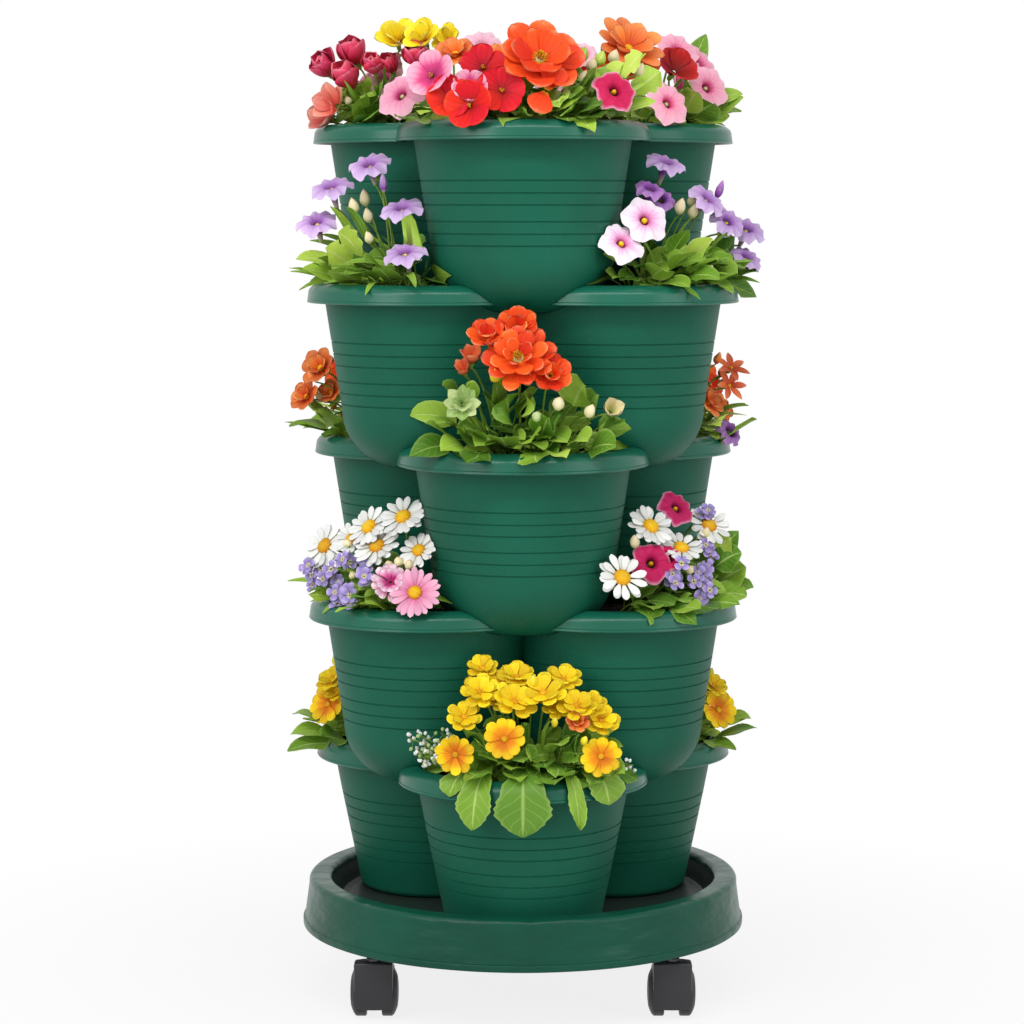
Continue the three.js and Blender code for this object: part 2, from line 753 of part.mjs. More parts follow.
addPiece(tower, "tray", tray(), finish.tray);
casterNames.forEach((name, i) => {
  const caster = new THREE.Group();
  const angle = casterAngle(i);
  caster.position.set(casterReach * Math.cos(angle), casterReach * Math.sin(angle), 0);
  tower.add(caster);
  addPiece(caster, `caster_${name}_stem`, casterStem(), finish.steel);
  addPiece(caster, `caster_${name}_hood`, casterHood(), finish.caster);
  addPiece(caster, `caster_${name}_axle`, casterAxle(), finish.steel);
  addPiece(caster, `caster_${name}_wheel_left`, casterWheel(-1), finish.caster);
  addPiece(caster, `caster_${name}_wheel_right`, casterWheel(1), finish.caster);
});

export default tower;
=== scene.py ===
import math
import random

import bmesh
import bpy
import numpy as np
from mathutils import Matrix, Vector, noise


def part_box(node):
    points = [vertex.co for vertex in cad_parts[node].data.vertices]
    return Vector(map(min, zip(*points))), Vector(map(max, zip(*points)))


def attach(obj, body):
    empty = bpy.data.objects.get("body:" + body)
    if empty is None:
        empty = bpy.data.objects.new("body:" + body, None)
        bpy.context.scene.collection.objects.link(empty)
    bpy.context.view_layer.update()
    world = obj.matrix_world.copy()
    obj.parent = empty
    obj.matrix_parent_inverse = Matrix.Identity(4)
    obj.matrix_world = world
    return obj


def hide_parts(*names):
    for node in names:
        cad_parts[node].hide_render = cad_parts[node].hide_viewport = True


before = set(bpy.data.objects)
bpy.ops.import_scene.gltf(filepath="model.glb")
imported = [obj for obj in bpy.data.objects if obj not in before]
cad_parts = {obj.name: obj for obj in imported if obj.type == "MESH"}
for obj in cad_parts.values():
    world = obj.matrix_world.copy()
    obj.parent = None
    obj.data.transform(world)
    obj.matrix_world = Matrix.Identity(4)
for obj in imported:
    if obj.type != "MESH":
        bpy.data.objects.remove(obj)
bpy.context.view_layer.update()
print("frame loaded:", len(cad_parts), "nodes")

# Settings are in millimetres, and meshes in metres.
mm = 0.001
up = Vector((0, 0, 1))


def linear(hexColour):
    # an sRGB hex value, such as 1f5f4c, as the linear colour that a node takes
    channels = [int(hexColour[i : i + 2], 16) / 255 for i in (0, 2, 4)]
    return [c / 12.92 if c <= 0.04045 else ((c + 0.055) / 1.055) ** 2.4 for c in channels] + [1]


def feed(tree, node, links):
    # links holds each socket's plain value, or the node or the output that feeds it
    for name, value in links.items():
        if isinstance(value, bpy.types.Node):
            value = value.outputs[0]
        if isinstance(value, bpy.types.NodeSocket):
            tree.links.new(value, node.inputs[name])
        else:
            node.inputs[name].default_value = value


def addNode(tree, kind, links={}, **settings):
    made = tree.nodes.new("ShaderNode" + kind)
    for name, value in settings.items():
        setattr(made, name, value)
    feed(tree, made, links)
    return made


def startMaterial(name, **sockets):
    material = bpy.data.materials.new(name)
    material.use_nodes = True
    tree = material.node_tree
    shader = tree.nodes["Principled BSDF"]
    for socket, value in sockets.items():
        shader.inputs[socket.replace("_", " ")].default_value = value
    return material, tree, shader


def setStops(ramp, stops):
    # gives a colour ramp its (position, hex colour) stops
    elements = ramp.color_ramp.elements
    while len(elements) < len(stops):
        elements.new(1)
    for element, (position, colour) in zip(elements, stops):
        element.position = position
        element.color = linear(colour)


# the finishes


def mouldedPlastic(name, colour, paler, grain, grainDepth, roughness, shine, waves=0):
    # Moulded plastic takes its mould's texture: an even colour, with a fine pebble that
    # spreads the highlights. The colour drifts a little, as it does over a large moulding.
    # Waves, in millimetres, are the low swells of a thin wall that cooled unevenly.
    material, tree, shader = startMaterial(
        name, Roughness=roughness, IOR=1.49, Specular_IOR_Level=shine
    )
    place = addNode(tree, "TexCoord").outputs["Object"]
    drift = addNode(tree, "TexNoise", {"Vector": place, "Scale": 9, "Detail": 3})
    tint = addNode(tree, "ValToRGB", {"Fac": drift})
    setStops(tint, [(0.35, colour), (0.7, paler)])
    pebble = addNode(tree, "TexNoise", {"Vector": place, "Scale": 1 / (grain * mm), "Detail": 1})
    bump = addNode(tree, "Bump", {"Height": pebble, "Distance": grainDepth * mm, "Strength": 1})
    if waves:
        stretched = addNode(tree, "Mapping", {"Vector": place, "Scale": (1, 1, 2.4)})
        swell = addNode(tree, "TexNoise", {"Vector": stretched, "Scale": 22})
        bump = addNode(tree, "Bump", {"Height": swell, "Distance": waves * mm, "Normal": bump})
    feed(tree, shader, {"Base Color": tint, "Normal": bump})
    return material


# Injection-moulded polypropylene: a waxy deep green, pebbled on the walls and smoother on the rims
wallPlastic = mouldedPlastic(
    "mouldedPolypropyleneWall", "0f5742", "13614b",
    grain=1.8, grainDepth=0.32, roughness=0.5, shine=0.19,
)
rimPlastic = mouldedPlastic(
    "mouldedPolypropyleneRim", "105c48", "156650",
    grain=2.2, grainDepth=0.1, roughness=0.28, shine=0.36,
)
trayPlastic = mouldedPlastic(
    "mouldedPolypropyleneTray", "094535", "0e513e",
    grain=2.2, grainDepth=0.1, roughness=0.3, shine=0.21, waves=3.5,
)
# The tray's well under the pots: painted shade, a dark, dull colour over the same plastic
shadedWellPlastic = mouldedPlastic(
    "polypropyleneWellPaintedShade", "28312d", "313b36",
    grain=2.2, grainDepth=0.1, roughness=0.4, shine=0.22,
)
# Glass-filled nylon: charcoal, with the faint texture of the fibres under its skin
casterPlastic = mouldedPlastic(
    "glassFilledNylon", "2d2d30", "353538",
    grain=1.8, grainDepth=0.1, roughness=0.36, shine=0.35,
)
wheelPlastic = mouldedPlastic(
    "polyurethaneTread", "1c1c1e", "222224",
    grain=2.2, grainDepth=0.1, roughness=0.45, shine=0.3,
)


def oxidedSteel():
    # Black-oxided steel: a dark grey metal, oiled, so its shine clouds in small patches.
    material, tree, shader = startMaterial("blackOxideSteel", Metallic=1, Base_Color=linear("4a4b4e"))
    place = addNode(tree, "TexCoord").outputs["Object"]
    cloud = addNode(tree, "TexNoise", {"Vector": place, "Scale": 1 / (6 * mm), "Detail": 4})
    shine = addNode(tree, "MapRange", {"Value": cloud, "To Min": 0.3, "To Max": 0.5})
    feed(tree, shader, {"Roughness": shine})
    return material


def pottingSoil():
    # Peat compost: near-black brown crumbs of 2 to 6 mm that drink the light.
    material, tree, shader = startMaterial("peatCompost", Roughness=0.95)
    place = addNode(tree, "TexCoord").outputs["Object"]
    crumb = addNode(tree, "TexVoronoi", {"Vector": place, "Scale": 1 / (5 * mm)})
    shade = addNode(tree, "TexNoise", {"Vector": place, "Scale": 1 / (4 * mm), "Detail": 5})
    tint = addNode(tree, "ValToRGB", {"Fac": shade})
    setStops(tint, [(0.35, "1a120c"), (0.55, "33241a"), (0.75, "4a3627")])
    bump = addNode(tree, "Bump", {"Height": crumb, "Distance": 2 * mm, "Strength": 0.9})
    feed(tree, shader, {"Base Color": tint, "Normal": bump})
    return material


steel = oxidedSteel()
compost = pottingSoil()
print("finishes made")


# mesh tools


def makeMesh(name, points, faces):
    mesh = bpy.data.meshes.new(name)
    mesh.from_pydata((np.array(points) * mm).tolist(), [], faces)
    return mesh


def addPiece(name, mesh, materials, sharpAngle=38):
    piece = bpy.data.objects.new(name, mesh)
    bpy.context.scene.collection.objects.link(piece)
    for material in materials:
        mesh.materials.append(material)
    mesh.shade_smooth()
    mesh.set_sharp_from_angle(angle=math.radians(sharpAngle))
    return piece


def revolve(profile, segments):
    # turns (radius, height) points about Z; a point on the axis stays single
    points, rings, faces = [], [], []
    for radius, height in profile:
        first = len(points)
        if radius == 0:
            points.append((0, 0, height))
            rings.append([first] * segments)
            continue
        rings.append(list(range(first, first + segments)))
        for i in range(segments):
            angle = math.tau * i / segments
            points.append((radius * math.cos(angle), radius * math.sin(angle), height))
    for lower, upper in zip(rings, rings[1:]):
        for i in range(segments):
            j = (i + 1) % segments
            corners = list(dict.fromkeys((lower[i], lower[j], upper[j], upper[i])))
            if len(corners) > 2:
                faces.append(corners)
    return points, faces


def turned(name, profile, segments, centre=(0, 0, 0)):
    points, faces = revolve(profile, segments)
    return makeMesh(name, np.array(points) + np.array(centre), faces)


def arc(centre, radii, start, end, steps):
    # points of an ellipse from one angle to another, in degrees
    angles = [math.radians(start + (end - start) * i / steps) for i in range(steps + 1)]
    return [(centre[0] + radii[0] * math.cos(a), centre[1] + radii[1] * math.sin(a)) for a in angles]


def cutAway(mesh, cutters):
    # a closed mesh less other closed meshes
    piece = bpy.data.objects.new("uncut", mesh)
    tools = [bpy.data.objects.new("cutter", cutter) for cutter in cutters]
    for item in [piece, *tools]:
        bpy.context.scene.collection.objects.link(item)
    for tool in tools:
        cut = piece.modifiers.new("cut", "BOOLEAN")
        cut.operation = "DIFFERENCE"
        cut.solver = "EXACT"
        cut.object = tool
    depsgraph = bpy.context.evaluated_depsgraph_get()
    result = bpy.data.meshes.new_from_object(piece.evaluated_get(depsgraph))
    for item in [piece, *tools]:
        bpy.data.objects.remove(item)
    return result


def threeLobes(mesh):
    # A lobe at the front, cut on its planes of symmetry, gives a sixth of a pot. Mirrored and
    # turned, it gives all three lobes.
    form = bmesh.new()
    form.from_mesh(mesh)

    def everything():
        return form.verts[:] + form.edges[:] + form.faces[:]

    for normal in ((-1, 0, 0), (0.5, math.sqrt(0.75), 0)):
        bmesh.ops.bisect_plane(
            form, geom=everything(), dist=1e-6, plane_co=(0, 0, 0), plane_no=normal, clear_outer=True
        )
    bmesh.ops.mirror(form, geom=everything(), axis="X", merge_dist=1e-6)
    twoThirds = math.tau * 2 / 3
    bmesh.ops.spin(
        form, geom=everything(), cent=(0, 0, 0), axis=up, angle=twoThirds, steps=2, use_duplicate=True
    )
    bmesh.ops.remove_doubles(form, verts=form.verts[:], dist=2e-6)
    bmesh.ops.recalc_face_normals(form, faces=form.faces[:])
    whole = bpy.data.meshes.new(mesh.name)
    form.to_mesh(whole)
    form.free()
    return whole


# the pots
# Heights inside a tier are measured from the lower edge of its rim.
tiers = {
    "count": 5,
    "lobeReach": 106.4,  # tower axis to a lobe's centre
    "pitch": 160,
    "nestDepth": 28,
}
potSizes = {
    "rimHeight": 19.5,
    "rimRadius": 125.8,
    "rimFlick": 1.4,
    "rimShoulder": 9.5,
    "crestRadius": 109,
    "rimHollow": 12.5,  # depth of the hollow under the rim
    "rimLine": 3,  # height of the fine line round the rim's foot
    "rimLineDepth": 0.4,
    "lipRounding": 2.5,
    "wall": 3,
    "wallRadius": 107.5,
    "wallDraft": 0.152,
    "grooves": (39, 51, 62.5, 78.5, 90.5, 102),  # below the rim
    "grooveWidth": 1.6,
    "grooveFloor": 0.45,  # the share of its width that is flat
    "grooveDepth": 1,
    "bowlShoulder": 60,
    "bowlFlatRadius": 25,
    "baseHeight": 160,
    "baseRadius": 80.6,
    "baseEdge": 8,
    "drainRadius": 5,
    "drainReach": 91,
    "spineRadius": 8,  # the hole on the tower's axis, through the rims
    "spineFoot": -4.2,
    "seatGap": 0.5,
    "segments": 120,
    "baseSteps": 8,  # how finely each curve is divided
    "bowlSteps": 18,
    "insideSteps": 6,
    "seatSteps": 24,
}
bowlBottom = potSizes["rimHeight"] - tiers["pitch"] - tiers["nestDepth"]
baseBottom = potSizes["rimHeight"] - potSizes["baseHeight"]
lobeCentre = (0, -tiers["lobeReach"], 0)


def wallAt(height):
    return potSizes["wallRadius"] + potSizes["wallDraft"] * height


def baseWallAt(height):
    foot = baseBottom + potSizes["baseEdge"]
    share = (height - foot) / -foot
    return potSizes["baseRadius"] + (potSizes["wallRadius"] - potSizes["baseRadius"]) * share


def groovedWall(radiusAt):
    # the wall's straight part, with its six fine grooves, from the lowest up
    half, depth = potSizes["grooveWidth"] / 2, potSizes["grooveDepth"]
    flat = half * potSizes["grooveFloor"]
    points = []
    for below in sorted(potSizes["grooves"], reverse=True):
        for offset, cut in ((-half, 0), (-flat, depth), (flat, depth), (half, 0)):
            points.append((radiusAt(offset - below) - cut, offset - below))
    return points


def bowlCurve(grow, steps):
    shoulder = bowlBottom + potSizes["bowlShoulder"]
    flat = potSizes["bowlFlatRadius"]
    radii = (wallAt(shoulder) - flat + grow, potSizes["bowlShoulder"] + grow)
    return [(0, bowlBottom - grow)] + arc((flat, shoulder), radii, -90, 0, steps)


def baseCurve(grow, steps):
    edge = potSizes["baseEdge"]
    centre = (potSizes["baseRadius"] - edge, baseBottom + edge)
    return [(0, baseBottom - grow)] + arc(centre, (edge + grow, edge + grow), -90, 0, steps)


def rimOutline():
    # From under the rim, round its foot and face, over the crest and down the inside of the
    # lip. The tenths of a millimetre are what the mould's edges are rounded by.
    s = potSizes
    radius, crest, hollow, rounding = s["rimRadius"], s["crestRadius"], s["rimHollow"], s["lipRounding"]
    face, inside = radius - s["rimFlick"], radius - s["wall"]
    line = s["rimLine"]
    lineRadius = radius - s["rimFlick"] * line / s["rimShoulder"]
    return (
        [(wallAt(hollow), hollow), (inside - s["rimFlick"] - s["wall"], hollow)]
        + [(inside, 0.4), (inside + 0.6, 0), (radius - 0.8, 0), (radius, 0.8)]
        + [(lineRadius + 0.1, line - 0.5), (lineRadius - s["rimLineDepth"], line)]
        + [(lineRadius - 0.1, line + 0.5)]
        + arc((crest, s["rimShoulder"]), (face - crest, s["rimHeight"] - s["rimShoulder"]), 0, 90, 14)
        + arc((crest - 0.3, s["rimHeight"] - rounding), (rounding, rounding), 90, 180, 4)
    )


def rod(name, radius, low, high, centre=(0, 0, 0)):
    return turned(name, [(0, low), (radius, low), (radius, high), (0, high)], 24, centre)


def makePot(name, isBase, seated):
    # a seated pot has the bowls of the tier above in its rim
    s = potSizes
    if isBase:
        curve, radiusAt, bottom, steps = baseCurve, baseWallAt, baseBottom, s["baseSteps"]
    else:
        curve, radiusAt, bottom, steps = bowlCurve, wallAt, bowlBottom, s["bowlSteps"]
    outside = curve(0, steps) + groovedWall(radiusAt)
    inside = [(s["wallRadius"] - s["wall"], 0)] + curve(-s["wall"], s["insideSteps"])[::-1]
    lobe = turned(name, outside + rimOutline() + inside, s["segments"], lobeCentre)
    cutters = [
        rod("drain", s["drainRadius"], bottom - 3, bottom + 2 * s["wall"], (0, -s["drainReach"], 0)),
        rod("spine", s["spineRadius"], s["spineFoot"], s["rimHeight"] + 3),
    ]
    if seated:
        gap, top = s["seatGap"], -90
        above = bowlCurve(gap, s["seatSteps"]) + [(wallAt(top) + gap, top), (0, top)]
        place = Matrix.Rotation(math.radians(60), 3, "Z") @ Vector(lobeCentre)
        cutters.append(turned("bowlAbove", above, s["segments"], place + up * tiers["pitch"]))
    pot = threeLobes(cutAway(lobe, cutters))
    centres = lobeCentres()
    for face in pot.polygons:
        middle = Vector(face.center) / mm
        reach = min((middle.xy - centre).length for centre in centres)
        face.material_index = int(middle.z > -0.5 and reach > wallAt(0) - s["wall"])
    return pot


def lobeCentres():
    return [(Matrix.Rotation(math.tau * i / 3, 3, "Z") @ Vector(lobeCentre)).xy for i in range(3)]


def tierMatrix(tier):
    # from a tier's own millimetres to the frame's metres
    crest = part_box(f"tier_{tier}_pot")[1].z
    turn = Matrix.Rotation(math.radians(60) * ((tier - 1) % 2), 4, "Z")
    return Matrix.Translation((0, 0, crest - potSizes["rimHeight"] * mm)) @ turn


potMeshes = {
    "base": makePot("basePot", True, True),
    "bowl": makePot("bowlPot", False, True),
    "top": makePot("topPot", False, False),
}
for tier in range(1, tiers["count"] + 1):
    kind = {1: "base", tiers["count"]: "top"}.get(tier, "bowl")
    mesh = potMeshes[kind].copy()
    mesh.transform(tierMatrix(tier))
    pot = addPiece(f"potShell_{tier}", mesh, [wallPlastic, rimPlastic], 32)
    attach(pot, f"tier_{tier}")
    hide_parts(f"tier_{tier}_pot")
print("pots made")


# the compost
soilSizes = {
    "top": 7.5,
    "depth": 28,  # of the layer that is modelled
    "radius": 104.6,
    "footRadius": 99,
    "ring": 3,  # spacing of the rings of points on its top
    "relief": 2.2,
    "bowlGap": 2,
    "crumbs": 90,
    "crumbRadius": (1.2, 3.8),
    "crumbReach": 98,
}


def underBowls(x, y):
    # the height of the bowls above, over a point of the compost; far up where there is none
    lowest = 1000
    shoulder, flat = potSizes["bowlShoulder"], potSizes["bowlFlatRadius"]
    spread = wallAt(bowlBottom + shoulder) - flat
    for centre in lobeCentres():
        reach = (Vector((x, y)) + centre).length  # the bowls above face the other way
        if reach < flat + spread:
            share = max(0, reach - flat) / spread
            rise = shoulder * (1 - math.sqrt(1 - share * share))
            lowest = min(lowest, tiers["pitch"] + bowlBottom + rise)
    return lowest


def makeSoil(name, tier, rng):
    s = soilSizes
    bowlsAbove = tier < tiers["count"]
    rings = int(s["radius"] / s["ring"])
    top = [(s["radius"] * (1 - i / rings), s["top"]) for i in range(rings)] + [(0, s["top"])]
    foot = s["top"] - s["depth"]
    mesh = threeLobes(turned(name, [(0, foot), (s["footRadius"], foot)] + top, 96, lobeCentre))
    form = bmesh.new()
    form.from_mesh(mesh)
    for v in form.verts:
        x, y, z = v.co / mm
        if z < s["top"] - 1:
            continue
        swells = noise.noise(Vector((x, y, tier * 31)) * 0.05)
        relief = swells + 0.5 * noise.noise(Vector((x, y, 9)) * 0.22)
        height = z + s["relief"] * relief
        if bowlsAbove:
            height = min(height, underBowls(x, y) - s["bowlGap"])
        v.co.z = height * mm
    for _ in range(s["crumbs"]):
        centre = rng.choice(lobeCentres())
        angle, reach = rng.uniform(0, math.tau), s["crumbReach"] * math.sqrt(rng.random())
        x, y = centre.x + reach * math.cos(angle), centre.y + reach * math.sin(angle)
        radius = rng.uniform(*s["crumbRadius"])
        if bowlsAbove and underBowls(x, y) < s["top"] + 3 * radius + s["bowlGap"]:
            continue
        squash = Matrix.Diagonal((rng.uniform(0.8, 1.3), rng.uniform(0.7, 1), rng.uniform(0.6, 0.9), 1))
        spin = Matrix.Rotation(rng.uniform(0, math.tau), 4, "Z")
        place = Matrix.Translation(Vector((x, y, s["top"] + radius * 0.35)) * mm) @ spin @ squash
        bmesh.ops.create_icosphere(form, subdivisions=1, radius=radius * mm, matrix=place)
    form.to_mesh(mesh)
    form.free()
    return mesh


for tier in range(1, tiers["count"] + 1):
    mesh = makeSoil(f"compost_{tier}", tier, random.Random(tier))
    mesh.transform(tierMatrix(tier))
    soil = addPiece(f"compost_{tier}", mesh, [compost], 60)
    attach(soil, f"tier_{tier}")
    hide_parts(f"tier_{tier}_soil")
print("compost made")


# the tray
traySizes = {
    "floor": 94.9,
    "crest": 119.5,
    "wall": 3,
    "wellRadius": 191,
    "innerRadius": 199,
    "outerRadius": 223,
    "rounding": 6,
    "stepRadius": 227.8,
    "footRadius": 229.7,
    "footHeight": 7,
    "foot": 68.7,
    "footEdge": 1,
    "wave": 0.5,  # how far the thin skirt wanders from round
    "segments": 256,
    "floorRings": (150, 60, 0),  # where its floor is divided
    "bossRadius": 8,
    "boreRadius": 5.8,
    "boreTop": 112.3,
    "casterOffset": 149.55,  # from the tower's axis, sideways and forwards
}
offset = traySizes["casterOffset"]
casterPlaces = {
    "front_left": (-offset, -offset),
    "front_right": (offset, -offset),
    "rear_right": (offset, offset),
    "rear_left": (-offset, offset),
}


def straight(start, end, steps):
    # points of a straight line, without its end
    return [tuple(a + (b - a) * i / steps for a, b in zip(start, end)) for i in range(steps)]


def makeTray():
    s = traySizes
    wall, rounding, edge = s["wall"], s["rounding"], s["footEdge"]
    low, high = s["foot"], s["foot"] + s["footHeight"]
    shoulder = s["crest"] - rounding
    inner, outer = s["innerRadius"], s["outerRadius"]
    well = straight((inner, shoulder), (s["wellRadius"], s["floor"] + 1.5), 4)[1:]
    profile = (
        [(0, s["floor"] - wall), (s["wellRadius"] + wall, s["floor"] - wall), (inner + wall, shoulder)]
        + arc((inner + rounding, shoulder), (rounding - wall, rounding - wall), 180, 90, 4)
        + arc((outer - rounding, shoulder), (rounding - wall, rounding - wall), 90, 0, 4)
        + [(s["stepRadius"] - wall, low + edge), (s["stepRadius"] - wall + edge, low)]
        + arc((s["footRadius"] - edge, low + edge), (edge, edge), -90, 0, 3)
        + arc((s["footRadius"] - edge, high - edge), (edge, edge), 0, 90, 3)
        + straight((s["stepRadius"], high + 0.4), (outer, shoulder), 8)
        + arc((outer - rounding, shoulder), (rounding, rounding), 0, 90, 10)
        + [(inner + rounding + 6, s["crest"])]
        + arc((inner + rounding, shoulder), (rounding, rounding), 90, 180, 10)
        + well
        + [(s["wellRadius"], s["floor"] + 1.5), (s["wellRadius"] - 1, s["floor"] + 0.4)]
        + [(radius, s["floor"]) for radius in (s["wellRadius"] - 3, *s["floorRings"])]
    )
    points, faces = revolve(profile, s["segments"])
    waved = []
    for x, y, z in points:
        place = Vector((x, y, z))
        if z < shoulder and math.hypot(x, y) > outer - wall:
            drift = noise.noise(Vector((x * 0.02, y * 0.02, z * 0.03)))
            place.xy *= 1 + s["wave"] * (drift - 0.5) / s["stepRadius"]
        waved.append(place)
    bore, boss, top = s["boreRadius"], s["bossRadius"], s["crest"] - wall
    socket = [(bore, high), (boss - 0.6, high), (boss, high + 0.6), (boss, top), (0, top)]
    socket += [(0, s["boreTop"]), (bore, s["boreTop"]), (bore, high)]
    for x, y in casterPlaces.values():
        socketPoints, socketFaces = revolve(socket, 32)
        first = len(waved)
        waved += [Vector(p) + Vector((x, y, 0)) for p in socketPoints]
        faces += [[first + i for i in face] for face in socketFaces]
    return makeMesh("trayShell", waved, faces)


tray = addPiece("trayShell", makeTray(), [trayPlastic, shadedWellPlastic], 40)
# the well's faces take the darker finish: painted shade under the pots
for face in tray.data.polygons:
    x, y, z = face.center / mm
    inWell = math.hypot(x, y) < traySizes["innerRadius"] + 1 and z > traySizes["floor"] - 1
    face.material_index = int(inWell and z < traySizes["crest"] - traySizes["rounding"])
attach(tray, "tray")
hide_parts("tray")
print("tray made")


# the casters
# Each is built with its swivel axis at the origin and its middle plane at X = 0.
casterSizes = {
    "trail": 20,
    "wheelRadius": 25,
    "wheelInnerFace": 7.75,
    "wheelOuterFace": 24.3,
    "treadEdge": 17.5,
    "treadRounding": 1.6,
    "axleBore": 3.3,
    "axleEnd": 21.1,
    "hoodTop": 61,
    "hoodHalfWidth": 19.5,
    "hoodEdge": 1.8,
    "hoodCrown": 1.8,  # how far the hood's edges fall back from its middle line
    "wellRadius": 26.5,
    "hoodRadius": 29,
    "hoodLip": 11.5,
    "hoodBack": 34,
    "hoodFlat": 12,
    "hoodCorner": 3.2,
    "webHalfWidth": 7,
    "webRadius": 13.5,
    "journalRadius": 4.75,
    "journalDepth": 14,
    "shaftRadius": 5.5,
    "shaftTop": 112,
    "collarRadius": 7,
    "collarHeight": 3,
    "collarGap": 0.3,
}


def hoodPath():
    # the hood's outer line seen from the side, from its front lip over the top to the edge
    # behind, as (Y, Z) points
    s = casterSizes
    axle = (s["trail"], s["wheelRadius"])
    radius, corner = s["hoodRadius"], s["hoodCorner"]
    front = axle[0] - radius
    lipAngle = 180 + math.degrees(math.asin((axle[1] - s["hoodLip"]) / radius))
    backAngle = math.degrees(math.asin((s["hoodBack"] - axle[1]) / radius))
    return (
        arc(axle, (radius, radius), lipAngle, 180, 6)
        + [(front, 33), (front, 42), (front, 50)]
        + arc((front + corner, s["hoodTop"] - corner), (corner, corner), 180, 90, 5)
        + [(0, s["hoodTop"]), (s["hoodFlat"] - 2, s["hoodTop"])]
        + [(s["hoodFlat"] + 1.5, s["hoodTop"] - 1.3)]
        + arc(axle, (radius, radius), 88, backAngle, 12)
    )


def makeHood(name):
    s = casterSizes
    axle = Vector((s["trail"], s["wheelRadius"]))
    half, edge = s["hoodHalfWidth"], s["hoodEdge"]
    path = [Vector(p) for p in hoodPath()]
    section = [-half, -half + edge * 0.3, -half + edge, -half * 0.6, -half * 0.3, 0]
    section += [-x for x in section[-2::-1]]
    fall = [edge, edge * 0.3] + [0] * (len(section) - 4) + [edge * 0.3, edge]
    points, faces = [], []
    for i, p in enumerate(path):
        step = path[min(i + 1, len(path) - 1)] - path[max(i - 1, 0)]
        outward = Vector((-step.y, step.x)).normalized()
        inner = axle + (p - axle).normalized() * s["wellRadius"]
        loop = [(-half, inner)]
        for x, drop in zip(section, fall):
            loop.append((x, p - outward * (drop + s["hoodCrown"] * (x / half) ** 2)))
        loop.append((half, inner))
        points += [(x, q.x, q.y) for x, q in loop]
    count = len(section) + 2
    for i in range(len(path) - 1):
        for j in range(count):
            k = (j + 1) % count
            faces.append([i * count + j, i * count + k, (i + 1) * count + k, (i + 1) * count + j])
    faces.append(list(range(count))[::-1])
    faces.append([(len(path) - 1) * count + j for j in range(count)])
    # the web between the wheels, which carries the axle and the stem's socket
    web = [p - (p - axle).normalized() * 0.5 for p in path] + [axle + Vector((0, -s["webRadius"]))]
    for x in (-s["webHalfWidth"], s["webHalfWidth"]):
        first = len(points)
        points += [(x, q.x, q.y) for q in web]
        loop = [first + i for i in range(len(web))]
        faces.append(loop if x < 0 else loop[::-1])
    count = len(web)
    first = len(points) - 2 * count
    for i in range(count):
        j = (i + 1) % count
        faces.append([first + i, first + count + i, first + count + j, first + j])
    mesh = makeMesh(name, points, faces)
    form = bmesh.new()
    form.from_mesh(mesh)
    bmesh.ops.recalc_face_normals(form, faces=form.faces[:])
    form.to_mesh(mesh)
    form.free()
    return mesh


def makeWheel(name, side):
    s = casterSizes
    radius, rounding = s["wheelRadius"], s["treadRounding"]
    inside, tread, outside = s["wheelInnerFace"], s["treadEdge"], s["wheelOuterFace"]
    dome = [(0.985, 0.1), (0.95, 0.26), (0.88, 0.45), (0.76, 0.66), (0.74, 0.63), (0.72, 0.72)]
    dome += [(0.6, 0.86), (0.4, 0.95), (0.2, 0.99), (0, 1)]
    profile = (
        [(0, s["axleEnd"]), (s["axleBore"], s["axleEnd"]), (s["axleBore"], inside), (9, inside)]
        + [(9.6, inside + 1), (radius - 5, inside + 1), (radius - 4.4, inside)]
        + arc((radius - rounding, inside + rounding), (rounding, rounding), -90, 0, 4)
        + [(radius, tread - 2), (radius, tread)]
        + [(radius * r, tread + (outside - tread) * d) for r, d in dome]
    )
    points, faces = revolve(profile, 56)
    turn = Matrix.Rotation(math.pi / 2 * side, 3, "Y")
    mesh = makeMesh(name, [turn @ Vector(p) for p in points], faces)
    mesh.transform(Matrix.Translation(Vector((0, s["trail"], s["wheelRadius"])) * mm))
    return mesh


def makeStem(name):
    s = casterSizes
    journal, collar, shaft, top = s["journalRadius"], s["collarRadius"], s["shaftRadius"], s["shaftTop"]
    low = s["hoodTop"] + s["collarGap"]
    high = low + s["collarHeight"]
    foot = s["hoodTop"] - s["journalDepth"]
    profile = (
        [(0, foot), (journal - 0.6, foot), (journal, foot + 0.6), (journal, low), (collar - 0.4, low)]
        + [(collar, low + 0.4), (collar, high - 0.4), (collar - 0.4, high), (shaft, high)]
        + [(shaft, top - 1), (shaft - 1, top), (0, top)]
    )
    return turned(name, profile, 40)


for name, (x, y) in casterPlaces.items():
    place = Matrix.Translation(Vector((x, y, 0)) * mm)
    body = f"caster_{name}"
    made = [
        ("stem", makeStem("casterStem"), steel, "tray", "stem_steel"),
        ("hood", makeHood("casterHood"), casterPlastic, body, "caster_plastic"),
    ]
    for side, sign in (("left", -1), ("right", 1)):
        wheel = makeWheel("casterWheel", sign)
        made.append((f"wheel_{side}", wheel, wheelPlastic, f"{body}_wheel_{side}", "wheel_plastic"))
    for part, mesh, material, carrier, slot in made:
        mesh.transform(place)
        piece = addPiece(f"{part}_{name}", mesh, [material], 35)
        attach(piece, carrier)
        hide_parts(f"caster_{name}_{part}")
    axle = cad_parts[f"caster_{name}_axle"]
    axle.data.materials.clear()
    axle.data.materials.append(steel)
print("casters made")


# the planting
# Petals, leaves and stems are grids of points. Every point keeps how far along its petal or leaf it
# lies, how far across, and a tone that all of one petal or leaf shares, which the finishes read.
pointValues = ("along", "across", "tone")


